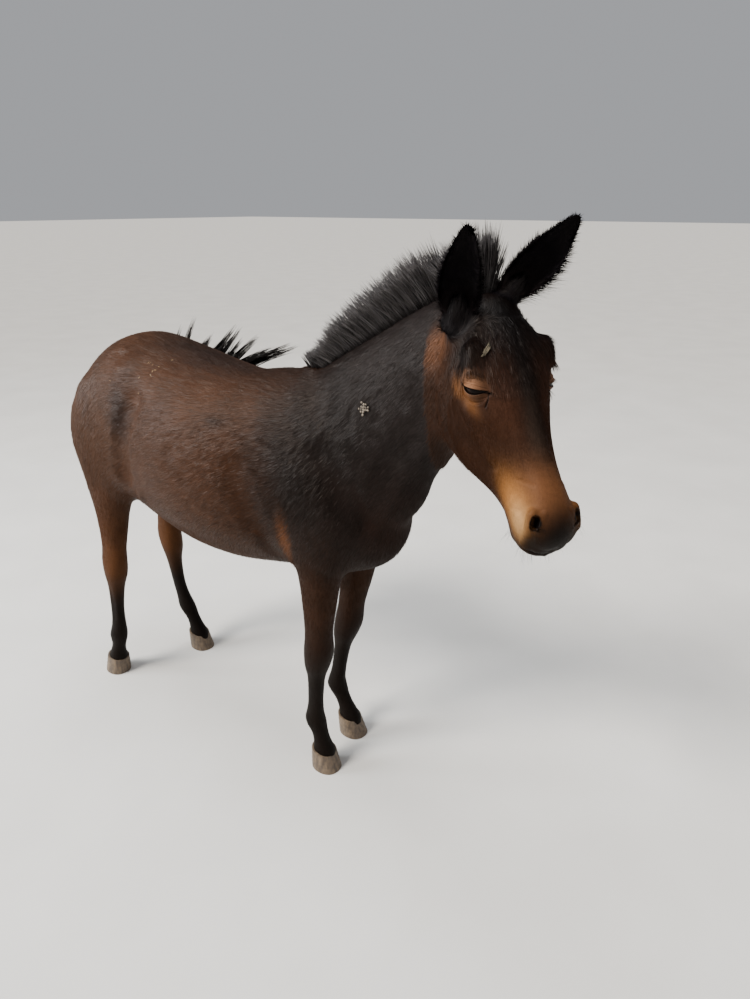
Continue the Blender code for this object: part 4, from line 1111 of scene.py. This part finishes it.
def hair_mesh(name, paths, half_widths, across, colours, unwrap, flat=0.45, outward=None):
    """Tapered three-sided hairs that end in a point, all in one mesh.

    paths holds each hair's middle line, half_widths its half width at every step but the tip, and across
    the way its flat side spreads. unwrap is each root's place on the part's own unrolled surface. Where
    outward is given, hairs that lie flat catch the light as the surface under them does."""
    count, steps = paths.shape[:2]
    ahead = unit(np.gradient(paths, axis=1))
    side = unit(across[:, None] - np.sum(across[:, None] * ahead, axis=2, keepdims=True) * ahead)
    wide = half_widths[:, :, None] * side[:, :-1]
    high = flat * half_widths[:, :, None] * np.cross(ahead, side)[:, :-1]
    inner = paths[:, :-1]
    rings = np.stack([inner - wide - high, inner + wide - high, inner + high], 2)
    points = np.concatenate([rings.reshape(count, -1, 3), paths[:, -1:]], 1)
    triangles = (hair_faces(steps)[None] + points.shape[1] * np.arange(count)[:, None, None]).reshape(-1, 3)
    mesh = triangle_mesh(name, points.reshape(-1, 3), triangles)
    if outward is not None:
        lean = np.append(np.tile([-ROUNDING, ROUNDING, 0.0], steps - 1), 0.0)
        facing = unit(outward[:, None] + lean[None, :, None] * side[:, :1])
        mesh.normals_split_custom_set_from_vertices(facing.reshape(-1, 3))
    places = unwrap[:, None] * (1 - 2 * UNWRAP_MARGIN) + UNWRAP_MARGIN + hair_patch(steps)[None]
    layer = mesh.uv_layers.new(name="OFBake")
    layer.uv.foreach_set("vector", places.reshape(-1, 2)[triangles.ravel()].astype(np.float32).ravel())
    shade = np.append(np.repeat(np.linspace(ROOT_SHADE, END_SHADE, steps - 1), 3), TIP_SHADE)
    paint(mesh, (colours[:, None] * shade[None, :, None]).reshape(-1, 3))
    return add(name, mesh)


def paint(mesh, colours):
    layer = mesh.color_attributes.new("Coat", "FLOAT_COLOR", "POINT")
    full = np.column_stack([np.clip(colours, 0, 1), np.ones(len(colours))])
    layer.data.foreach_set("color", full.astype(np.float32).ravel())


def tuft_paths(roots, outward, lie, length, rise, draw):
    """Short middle lines that leave the skin low, along the lie of the coat."""
    flat = unit(lie - np.sum(lie * outward, axis=1, keepdims=True) * outward)
    sideways = np.cross(outward, flat)
    flat = unit(flat + draw.normal(0, 0.11, (len(roots), 1)) * sideways)
    long = (length * draw.uniform(0.75, 1.2, len(roots)))[:, None]
    lift = (rise * draw.uniform(0.6, 1.4, len(roots)))[:, None]
    start = roots - 0.0004 * outward - 0.05 * long * flat
    tip = roots + long * flat + lift * long * outward
    return np.stack([start, tip], 1), sideways


def kind_of(part):
    """The four legs count as one kind of part."""
    return "leg" if "leg" in part else part


def fur_for(part, points):
    """Length, half width and rise of the tufts at each place."""
    length, half_width, rise = (np.full(len(points), value) for value in FUR[kind_of(part)])
    if kind_of(part) == "leg":
        thin = under(points[:, 2], 0.50, 0.2)
        fetlock = np.exp(-((points[:, 2] - 0.125) / 0.022) ** 2)
        length *= 1 - 0.45 * thin
        half_width *= 1 - 0.30 * thin
        length *= 1 + 0.4 * fetlock
    if part == "head":
        s, d, _ = head_places(points).T
        muzzle = over(s, 0.24, 0.14)
        near = np.exp(-(((s - EYE_PLACE[0]) ** 2 + (d - EYE_PLACE[1]) ** 2) / 0.044**2) ** 2)
        length *= 1 - np.maximum(0.50 * muzzle, 0.66 * near)
        half_width *= 1 - 0.42 * np.maximum(muzzle, near)
        rise = rise * (1 - 0.8 * near)
        jaw = under(d, -0.13, 0.06) * under(s, 0.24, 0.08)
        fringe = under(s, 0.075, 0.05) * under(d, -0.045, 0.05)
        length *= 1 + 1.2 * np.maximum(jaw, fringe)
        rise = rise * (1 + 0.9 * np.maximum(jaw, fringe))
    return length, half_width, rise


def bare(points):
    """Places with no tufts: on the eyelids, in the nostrils and along the mouth."""
    found = np.zeros(len(points), bool)
    for side in (1, -1):
        f, v, w = eye_places(points, side)
        found |= ((f / LID_REACH[0]) ** 2 + ((v - 0.002) / LID_REACH[1]) ** 2 < 1) & (w > 0)
        for path, reach in BARE_PATHS:
            found |= distance_to_path(points, head_path(path, side)) < reach
    return found


def coat_piece(name, part, path, roots, outward, draw):
    """One piece of the coat: tufts that lie with it, gathered in clumps and streaks."""
    keep = ~bare(roots)
    roots, outward = roots[keep], outward[keep]
    length, half_width, rise = fur_for(part, roots)
    lie = lie_of(roots)
    lie += 0.10 * np.cross(lie, outward) * waves(roots, 0.09, 31)[:, None]
    length = length * (1 + 0.08 * waves(roots, 0.05, 32))
    lines, across = tuft_paths(roots, outward, lie, length, rise, draw)
    widths = half_width[:, None] * draw.uniform(0.8, 1.2, (len(roots), 1))
    _, share, angle = along_path(roots, path)
    colours = coat_colour(roots) * draw.uniform(0.80, 1.20, (len(roots), 1))
    way = unit(lie)
    drawn_out = roots - DRAWN_OUT * np.sum(roots * way, axis=1, keepdims=True) * way
    calm = 0.5 if part == "head" else 1.0
    clumps = calm * CLUMPING * waves(drawn_out, CLUMP_SIZE, 33)[:, None] * across
    facing = unit(outward + clumps + draw.normal(0, calm * UNEVEN, (len(roots), 3)))
    colours *= 1 + 0.13 * calm * waves(drawn_out, STREAK_SIZE, 34)[:, None]
    return hair_mesh(name, lines, widths, across, colours, unrolled(angle, share), outward=facing)


def unrolled(angle, share):
    """Places on an unwrap that is rolled off a part: round it and along it."""
    return np.stack([angle / (2 * np.pi) + 0.5, share], 1)


def make_coat(skin):
    """Short flat tufts all over the skin above the hooves, in pieces by part, each with its slot."""
    mesh = skin.data
    points, normals, triangles = surface_of(mesh)
    paths = part_paths()
    middles = points[triangles].mean(1)
    owner = part_of(middles, paths)
    made = []
    for number, (part, (path, _)) in enumerate(paths.items()):
        mine = triangles[(owner == number) & (middles[:, 2] >= COAT_ENDS)]
        pieces = PIECES.get(part, 1)
        for piece in range(pieces):
            name = "coat_" + part + ("" if pieces == 1 else "_%d" % (piece + 1))
            draw = np.random.default_rng(100 + 10 * number + piece)
            roots, outward = scatter(points, normals, mine, TUFTS[kind_of(part)], draw)
            made.append((coat_piece(name, part, path, roots, outward, draw), SLOTS[part]))
    paint(mesh, coat_colour(points))
    return made


def crest_line():
    """The top of the neck from the withers to the poll, in even steps."""
    line = along(NECK, 5)
    tops = []
    for i in range(len(line)):
        top = line[i, :3] + line[i, 3] * ways_at(line[:, :3], i)[1]
        if not tops or top[1] < tops[-1][1] - CREST_STEP:
            tops.append(top)
    return np.array(tops)


def bent_hairs(roots, way, bend, length, steps):
    """Middle lines that leave their roots one way and turn towards another."""
    t = np.linspace(-0.06, 1, steps)[None, :, None]
    return roots[:, None] + length[:, None, None] * (t * way[:, None] + t * np.abs(t) * bend[:, None])


def standing_hair(name, tops, heights, leans, count, band, seed):
    """A stiff mane: fine hairs that stand in a band along a line, gathered into pointed bunches."""
    draw = np.random.default_rng(seed)
    share = draw.random(count)
    at = share * (len(tops) - 1)
    k = np.minimum(at.astype(int), len(tops) - 2)
    ahead = unit(tops[k + 1] - tops[k])
    across = unit(np.cross(ahead, UP))
    up = np.cross(across, ahead)
    sideways = np.clip(draw.normal(0, 0.45, count), -1, 1)[:, None]
    roots = tops[k] + (at - k)[:, None] * (tops[k + 1] - tops[k]) + band * sideways * across - 0.010 * up
    lean = read_at(share, leans)[:, None]
    bunch = np.floor(share * count / HAIRS_IN_BUNCH + 0.35 * sideways[:, 0])
    pull = np.sin(bunch * 2.4)[:, None] * 0.10
    backwards = lean + pull + draw.normal(0, 0.07, (count, 1))
    aside = 0.20 * sideways + 0.10 * np.cos(bunch * 1.7)[:, None] + draw.normal(0, 0.04, (count, 1))
    way = unit(up - backwards * ahead + aside * across)
    bend = -draw.uniform(0.02, 0.14, (count, 1)) * ahead + 0.10 * sideways * across
    height = read_at(share, heights)
    edge = 1 - 0.30 * np.abs(sideways[:, 0])
    length = height * edge * draw.uniform(0.80, 1.06, count) * (1 + 0.07 * np.sin(bunch * 3.1)) + 0.010
    lines = bent_hairs(roots, way, bend, length, 5)
    widths = MANE_HAIR_WIDTH * draw.uniform(0.7, 1.2, (count, 1)) * np.array([[1.0, 1.0, 0.85, 0.55]])
    colours = mix(MANE_DARK, MANE_GREY, np.clip(draw.normal(0.5, 0.25, count) + 0.2 * np.sin(bunch), 0, 1))
    unwrap = np.stack([0.5 + 0.45 * sideways[:, 0], share], 1)
    return hair_mesh(name, lines, widths, unit(ahead + 0.5 * across), colours, unwrap)


def tail_clump(line, fan, share, draw):
    """One pointed clump: its hairs' lines, half widths, flat sides, colours and places on the unwrap."""
    at = (0.30 + 0.68 * share) * (len(line) - 1)
    k = min(int(at), len(line) - 2)
    middle = line[k] + (at - k) * (line[k + 1] - line[k])
    opens = over(share, 0.08, 0.35)
    rise = math.radians(fan.first_rise + (fan.last_rise - fan.first_rise) * share + draw.uniform(-9, 9))
    along_dock = unit((line[k + 1] - line[k]) * (0.3, 1, 1))
    fanned = unit((draw.uniform(-0.26, -0.02), -math.cos(rise), math.sin(rise)))
    way = unit(opens * fanned + (1 - opens) * (along_dock + (0, 0, 0.25 * np.sign(fan.first_rise))))
    bend = np.array([draw.uniform(-0.10, 0.00), 0, draw.uniform(-0.16, 0.06)])
    length = (fan.first_length + (fan.last_length - fan.first_length) * share) * draw.uniform(0.84, 1.08)
    hairs = HAIRS_IN_CLUMP
    spread = np.clip(draw.normal(0, 1, (hairs, 3)), -1.8, 1.8) * CLUMP_SPREAD
    roots = middle + spread
    tips = middle + length * (way + bend) + 0.20 * spread + draw.normal(0, 0.0028, (hairs, 3))
    ends = roots + (tips - roots) * draw.uniform(0.72, 1.0, (hairs, 1))
    t = np.linspace(0, 1, 7)[None, :, None]
    sag = (t * (1 - t)) * (length * 0.5 * (way - unit(way + bend)))[None, None]
    lines = roots[:, None] * (1 - t) + ends[:, None] * t + sag
    widths = TAIL_HAIR_WIDTH * draw.uniform(0.7, 1.2, (hairs, 1)) * np.array([[0.9, 1, 1, 0.9, 0.75, 0.5]])
    colours = np.array(TAIL_HAIR) * draw.uniform(0.7, 1.5, (hairs, 1))
    unwrap = np.stack([draw.random(hairs), np.full(hairs, at / len(line))], 1)
    return lines, widths, unit(draw.normal(0, 1, (hairs, 3))), colours, unwrap


def tail_hair():
    """Clumps of long hair that fan from the swung tail over the back and along the flank."""
    draw = np.random.default_rng(9)
    line = along(TAIL_LINE, 8)
    clumps = [tail_clump(line, fan, (i + 0.5) / fan.count, draw)
              for fan in TAIL_FANS for i in range(fan.count)]
    return hair_mesh("tail_hair", *(np.concatenate(column) for column in zip(*clumps)))


def make_ear(word):
    """The finished cup of an ear, its edge a little rough."""
    thing = mesh_object("ear_cup_" + word, [ear(word)])
    smoother = thing.modifiers.new("round", "SUBSURF")
    smoother.levels = 1
    smoother.render_levels = 1
    apply_modifiers(thing)
    mesh = thing.data
    points = read_points(mesh)
    write_points(mesh, points + (0.0010 * waves(points, 0.02, 41) - 0.0008)[:, None] * read_normals(mesh))
    paint(mesh, ear_colour(read_points(mesh), word))
    mesh.shade_smooth()
    return thing


def ear_colour(points, word):
    """Near black, with reddish brown low on the back of the ear."""
    points_to, opens, _ = ear_axes(word)
    root = ear_root(word)
    high = over((points - root) @ points_to, 0, 0.07)
    behind = under((points - root) @ opens, 0, 0.02)
    return mix(EAR_BLACK, EAR_BROWN, (1 - high) * (0.35 + 0.65 * behind))


def ear_fur(thing, word, number):
    """Fur on both faces of an ear, longer along the edges of the cup and within it."""
    draw = np.random.default_rng(300 + number)
    roots, outward = scatter(*surface_of(thing.data), EAR_TUFTS, draw)
    points_to, opens, across = ear_axes(word)
    local = roots - ear_root(word)
    up = local @ points_to / EARS[word].length
    out = local @ across
    inner = over(outward @ opens, 0.1, 0.4)
    width = EAR_HALF_WIDTH * np.interp(up, *zip(*EAR_WIDTHS))
    edge = over(np.abs(out) / width, 0.72, 0.2)
    length = 0.0080 + 0.004 * edge * under(up, 0.95, 0.3) + 0.007 * inner * under(up, 0.8, 0.4)
    lie = np.tile(points_to, (len(roots), 1)) + (0.9 * edge * np.sign(out))[:, None] * across
    lie += (0.5 * edge)[:, None] * opens - (0.5 * inner * (1 - edge) * np.sign(out))[:, None] * across
    lower = edge * (np.sign(out) * across[2] < 0) * (word == "left") * under(up, 0.85, 0.4)
    length += 0.009 * lower
    rise = 0.12 + 0.20 * edge + 0.35 * inner
    lines, sideways = tuft_paths(roots, outward, lie, length, rise, draw)
    widths = (0.0007 - 0.0002 * np.maximum(edge, inner))[:, None]
    colours = ear_colour(roots, word) * draw.uniform(0.7, 1.5, (len(roots), 1))
    angle = np.arctan2(local @ opens, out)
    unwrap = unrolled(angle, np.clip(up * 0.8 + 0.15, 0, 1))
    return hair_mesh("coat_ear_" + word, lines, widths, sideways, colours, unwrap, outward=outward)


def make_eye(word, side):
    """A dark glossy ball behind the lids."""
    edit = bmesh.new()
    bmesh.ops.create_uvsphere(edit, u_segments=48, v_segments=28, radius=EYE_RADIUS,
                              matrix=Matrix.Translation(Vector(eye_frame(side)[0])))
    mesh = mesh_from("eyeball_" + word, edit)
    mesh.shade_smooth()
    return add("eyeball_" + word, mesh)


def make_hoof(name):
    """An upright hoof: a wall with fine growth rings, a coronet roll above and a flat sole below."""
    line = np.array(LEG_LINES[name])[::-1]
    top = np.array([*(np.interp(CORONET, line[:, 2], line[:, k]) for k in (0, 1)), CORONET])
    rings = []
    for t in np.concatenate([[-0.02], np.linspace(0, 0.97, 34), [1.0]]):
        grown = 0.0005 * math.sin(26 * t) * math.sin(math.pi * max(t, 0))
        tucked_in = 0.004 if t < 0 else 0.0012 if t == 1 else 0.0
        half_length = HOOF_HALF_LENGTH * (0.78 + 0.22 * t) + grown - tucked_in
        half_width = HOOF_HALF_WIDTH * (0.90 + 0.10 * t) + grown - tucked_in
        flat = ring(half_width, half_length, half_length * 0.92, 2.0, 2.3, 64)
        points = placed(flat, top * (1 - t) + line[0] * t, ACROSS, BACKWARDS)
        points[:, 2] += (1 - t) * (points[:, 1] - top[1]) * CORONET_SLANT
        if t == 1:
            points[:, 2] = 0.0
        rings.append(points)
    thing = mesh_object(name.replace("leg", "hoof_wall"), [tube(rings[::-1])])
    thing.data.shade_smooth()
    thing.data.set_sharp_from_angle(angle=math.radians(40))
    return thing


def node_tools(material):
    """A material's shader, and short calls that link two sockets and make a node."""
    nodes = material.node_tree.nodes

    def make(kind, **values):
        node = nodes.new(kind)
        for name, value in values.items():
            if name in node.inputs:
                node.inputs[name].default_value = value
            else:
                setattr(node, name, value)
        return node
    return nodes["Principled BSDF"], material.node_tree.links.new, make


def new_material(name, settings):
    """A material with its shader's sockets set."""
    material = bpy.data.materials.new(name)
    material.use_nodes = True
    for socket, value in settings.items():
        material.node_tree.nodes["Principled BSDF"].inputs[socket].default_value = value
    return material


def add_bump(material, height, strength, distance):
    shader, link, make = node_tools(material)
    bump = make("ShaderNodeBump", Strength=strength, Distance=distance)
    link(height, bump.inputs["Height"])
    link(bump.outputs["Normal"], shader.inputs["Normal"])


def hair_material(name, roughness, specular):
    """Hair painted by the coat's own colours, with streaks along it."""
    material = new_material(name, {"Roughness": roughness, "Specular IOR Level": specular,
                                   "Specular Tint": WARM_SHEEN})
    shader, link, make = node_tools(material)
    painted = make("ShaderNodeVertexColor", layer_name="Coat")
    place = make("ShaderNodeTexCoord")
    streaks = make("ShaderNodeTexNoise", Scale=260.0, Detail=2.0)
    link(place.outputs["Object"], streaks.inputs["Vector"])
    spread = make("ShaderNodeMapRange", **{"To Min": 0.82, "To Max": 1.18})
    link(streaks.outputs["Fac"], spread.inputs["Value"])
    mixed = make("ShaderNodeVectorMath", operation="SCALE")
    link(painted.outputs["Color"], mixed.inputs[0])
    link(spread.outputs["Result"], mixed.inputs["Scale"])
    link(mixed.outputs["Vector"], shader.inputs["Base Color"])
    return material


def skin_material():
    """Short flat fur on the skin: the coat's colours, fine streaks and a fine bump."""
    material = hair_material("short_coat", 0.52, 0.08)
    _, link, make = node_tools(material)
    place = make("ShaderNodeTexCoord")
    grain = make("ShaderNodeTexNoise", Scale=520.0, Detail=4.0)
    link(place.outputs["Object"], grain.inputs["Vector"])
    add_bump(material, grain.outputs["Fac"], 0.35, 0.0010)
    return material


def mixed_material(name, dark, light, scale, settings, stretch=(1, 1, 1), bump_height=0.0004):
    """Two colours mixed by noise, with a matching bump."""
    material = new_material(name, settings)
    shader, link, make = node_tools(material)
    place = make("ShaderNodeTexCoord")
    spread = make("ShaderNodeMapping", Scale=stretch)
    link(place.outputs["Object"], spread.inputs["Vector"])
    noise = make("ShaderNodeTexNoise", Scale=scale, Detail=5.0)
    link(spread.outputs["Vector"], noise.inputs["Vector"])
    ramp = make("ShaderNodeValToRGB")
    for element, position, colour in zip(ramp.color_ramp.elements, (0.35, 0.68), (dark, light)):
        element.position = position
        element.color = (*colour, 1)
    link(noise.outputs["Fac"], ramp.inputs["Fac"])
    link(ramp.outputs["Color"], shader.inputs["Base Color"])
    add_bump(material, noise.outputs["Fac"], 0.5, bump_height)
    return material


def eye_material():
    settings = {"Roughness": 0.08, "IOR": 1.18, "Specular IOR Level": 0.30}
    return mixed_material("eye", EYE_DARKER, EYE_LIGHTER, 90, settings, bump_height=0.00002)


def nearest(surface, place):
    """The point of a surface nearest to a place, and the way out of it there."""
    points, normals, _ = surface
    k = int(np.argmin(np.linalg.norm(points - place, axis=1)))
    return points[k], normals[k]


def cells(count, columns, rows):
    """Places on an unwrap for hairs that grow on no part: the middles of a grid's cells."""
    turn = np.arange(count)
    return np.stack([(turn % columns + 0.5) / columns, (turn // columns + 0.5) / rows], 1)


def straw_bits(surface):
    """A few bits of straw, hay and dry mud caught in the coat."""
    draw = np.random.default_rng(61)
    t = np.linspace(-0.5, 0.5, 4)[:, None]
    rows = []
    for kind in LITTER:
        for _ in range(kind.count):
            root, outward = nearest(surface, np.array(kind.place) + draw.normal(0, kind.spread, 3))
            way = draw.normal(0, 1, 3) if kind.way is None else np.array(kind.way) + draw.normal(0, 0.12, 3)
            way = unit(way - (way @ outward) * outward)
            long = kind.length * draw.uniform(0.5, 1.3)
            line = root + 0.0050 * outward + long * t * way - 0.10 * long * (2 * t) ** 2 * outward
            widths = kind.half_width * np.array([0.8, 1.0, 0.85])
            colour = np.array(kind.colour) * draw.uniform(0.5, 1.2)
            rows.append((line, widths, np.cross(outward, way), colour))
    lines, widths, acrosses, colours = (np.array(column) for column in zip(*rows))
    return hair_mesh("straw", lines, widths, acrosses, colours, cells(len(lines), 8, 12), flat=0.3)


def lashes_of(side, draw):
    """The lashes along one upper lid: their lines and the ways their flat sides spread."""
    middle, out, up, front = eye_frame(side)
    f = np.linspace(-0.85, 0.80, LASHES) * SLIT_HALF_LENGTH + draw.normal(0, 0.0004, LASHES)
    high = slit_edges(f)[1]
    w = np.sqrt((EYE_RADIUS + LID_THICK) ** 2 - f**2 - high**2)
    roots = middle + f[:, None] * front + (high + 0.0006)[:, None] * up + (w - 0.0010)[:, None] * out
    way = unit(out - 0.45 * up + draw.normal(0, 0.12, (LASHES, 1)) * front)
    bend = 0.25 * up + 0.1 * front + np.zeros((LASHES, 3))
    return bent_hairs(roots, way, bend, draw.uniform(0.006, 0.010, LASHES), 4), np.tile(front, (LASHES, 1))


def whisker(surface, s, d, across, draw):
    """One stiff hair near a place on the head."""
    root, outward = nearest(surface, on_head(s, d, across))
    way = unit(outward + 0.5 * FORWARD + draw.normal(0, 0.25, 3))
    bend = np.array([0, 0, -0.35]) + draw.normal(0, 0.08, 3)
    length = np.array([draw.uniform(0.012, 0.026)])
    line = bent_hairs(root[None], way[None], bend[None], length, 4)
    return line, unit(np.cross(way, (0.1, 0.2, 1)))[None]


def fine_hairs(surface):
    """Lashes and whiskers as one piece."""
    draw = np.random.default_rng(51)
    rows = [lashes_of(side, draw) for side in (1, -1)]
    draw = np.random.default_rng(52)
    for side in (1, -1):
        for s, d, across, count in WHISKERS:
            for _ in range(count):
                place = (s + draw.normal(0, 0.008), d + draw.normal(0, 0.007),
                         side * (across + draw.normal(0, 0.006)))
                rows.append(whisker(surface, *place, draw))
    lines, acrosses = (np.concatenate(column) for column in zip(*rows))
    widths = np.tile(LASH_HALF_WIDTHS, (len(lines), 1))
    colours = np.tile(EYE_DARK, (len(lines), 1))
    return hair_mesh("lashes", lines, widths, acrosses, colours, cells(len(lines), 16, 20))


def floor():
    edit = bmesh.new()
    bmesh.ops.create_grid(edit, x_segments=8, y_segments=8, size=FLOOR_REACH)
    made = add("floor", mesh_from("floor", edit))
    plain = mixed_material("plain_floor", FLOOR_DARK, FLOOR_LIGHT, 3.0, {"Roughness": 0.85})
    made.data.materials.append(plain)
    return made


def studio():
    """A wide sun high on the animal's right, large soft lamps in front, behind and above, and a pale sky."""
    world = bpy.data.worlds.new("pale")
    bpy.context.scene.world = world
    world.use_nodes = True
    sky = world.node_tree.nodes["Background"].inputs
    sky["Color"].default_value = SKY_COLOUR
    sky["Strength"].default_value = WORLD_STRENGTH
    sun = bpy.data.lights.new("sun", "SUN")
    sun.energy = SUN_STRENGTH
    sun.angle = SUN_BREADTH
    sun.color = SUN_COLOUR
    add("sun", sun).rotation_euler = Vector(SUN_WAY).to_track_quat("Z", "Y").to_euler()
    for lamp in LAMPS:
        light = bpy.data.lights.new(lamp.name, "AREA")
        light.size = lamp.size
        light.energy = lamp.power
        light.color = lamp.colour
        made = add(lamp.name, light)
        made.location = lamp.place
        made.rotation_euler = (Vector(LIT_PLACE) - Vector(lamp.place)).to_track_quat("-Z", "Y").to_euler()


def camera():
    heading = np.array([*CAMERA_HEADING, 0.0])
    way = math.cos(CAMERA_DROP) * unit(heading) - math.sin(CAMERA_DROP) * UP
    data = bpy.data.cameras.new("camera")
    data.sensor_fit = "VERTICAL"
    data.sensor_height = SENSOR
    data.lens = SENSOR * FOCAL_SHARE
    made = add("camera", data)
    made.location = Vector(np.array(CAMERA_PLACE) - SHIFT)
    made.rotation_euler = Vector(way).to_track_quat("-Z", "Y").to_euler()
    bpy.context.scene.camera = made


def dress(piece, material, slot, *nodes):
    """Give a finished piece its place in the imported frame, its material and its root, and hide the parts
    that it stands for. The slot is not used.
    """
    write_points(piece.data, read_points(piece.data) - SHIFT)
    piece.data.materials.append(material)
    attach(piece, "root")
    if nodes:
        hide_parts(*nodes)


body_coat = hair_material("body_coat", 0.46, 0.125)
short_fur = hair_material("head_and_leg_coat", 0.52, 0.05)
stiff_hair = hair_material("mane_and_tail", 0.45, 0.20)
straw_material = hair_material("dry_straw", 0.80, 0.3)
horn = mixed_material("horn", HORN_DARK, HORN_LIGHT, 120, {"Roughness": 0.55}, stretch=(1, 1, 0.25))

skin = make_skin()
coats = make_coat(skin)
tops = crest_line()
mane_tops = tops[(tops[:, 1] < MANE_FROM) & (tops[:, 1] > MANE_TO)]
mane = standing_hair("mane", mane_tops, CREST_HEIGHTS, MANE_LEANS, MANE_HAIRS, MANE_BAND, 3)
poll = standing_hair("mane_poll", along(POLL_LINE, 4), POLL_HEIGHTS, POLL_LEANS, POLL_HAIRS, POLL_BAND, 6)
surface = surface_of(skin.data)
bits = straw_bits(surface)
lashes = fine_hairs(surface)

for number, (word, side) in enumerate((("left", 1), ("right", -1))):
    cup = make_ear(word)
    fur = ear_fur(cup, word, number)
    dress(cup, skin_material(), "coat_ear_" + word, "ear_" + word)
    dress(fur, short_fur, "coat_ear_" + word)
    dress(make_eye(word, side), eye_material(), "eye_" + word, "eye_" + word)
for name in LEG_LINES:
    hoof_name = name.replace("leg", "hoof")
    dress(make_hoof(name), horn, "hoof_" + name.replace("_leg", ""), hoof_name)
dress(tail_hair(), stiff_hair, "hair_tail", "tail")
for piece, slot in coats:
    dress(piece, body_coat if slot in ("coat_body", "coat_neck") else short_fur, slot)
dress(mane, stiff_hair, "coat_neck")
dress(poll, stiff_hair, "coat_head")
dress(bits, straw_material, "coat_body")
dress(lashes, stiff_hair, "coat_head")
dress(skin, skin_material(), "coat_body", "torso", "neck", "head", "tail_base", *LEG_LINES)

ground = floor()
studio()
camera()
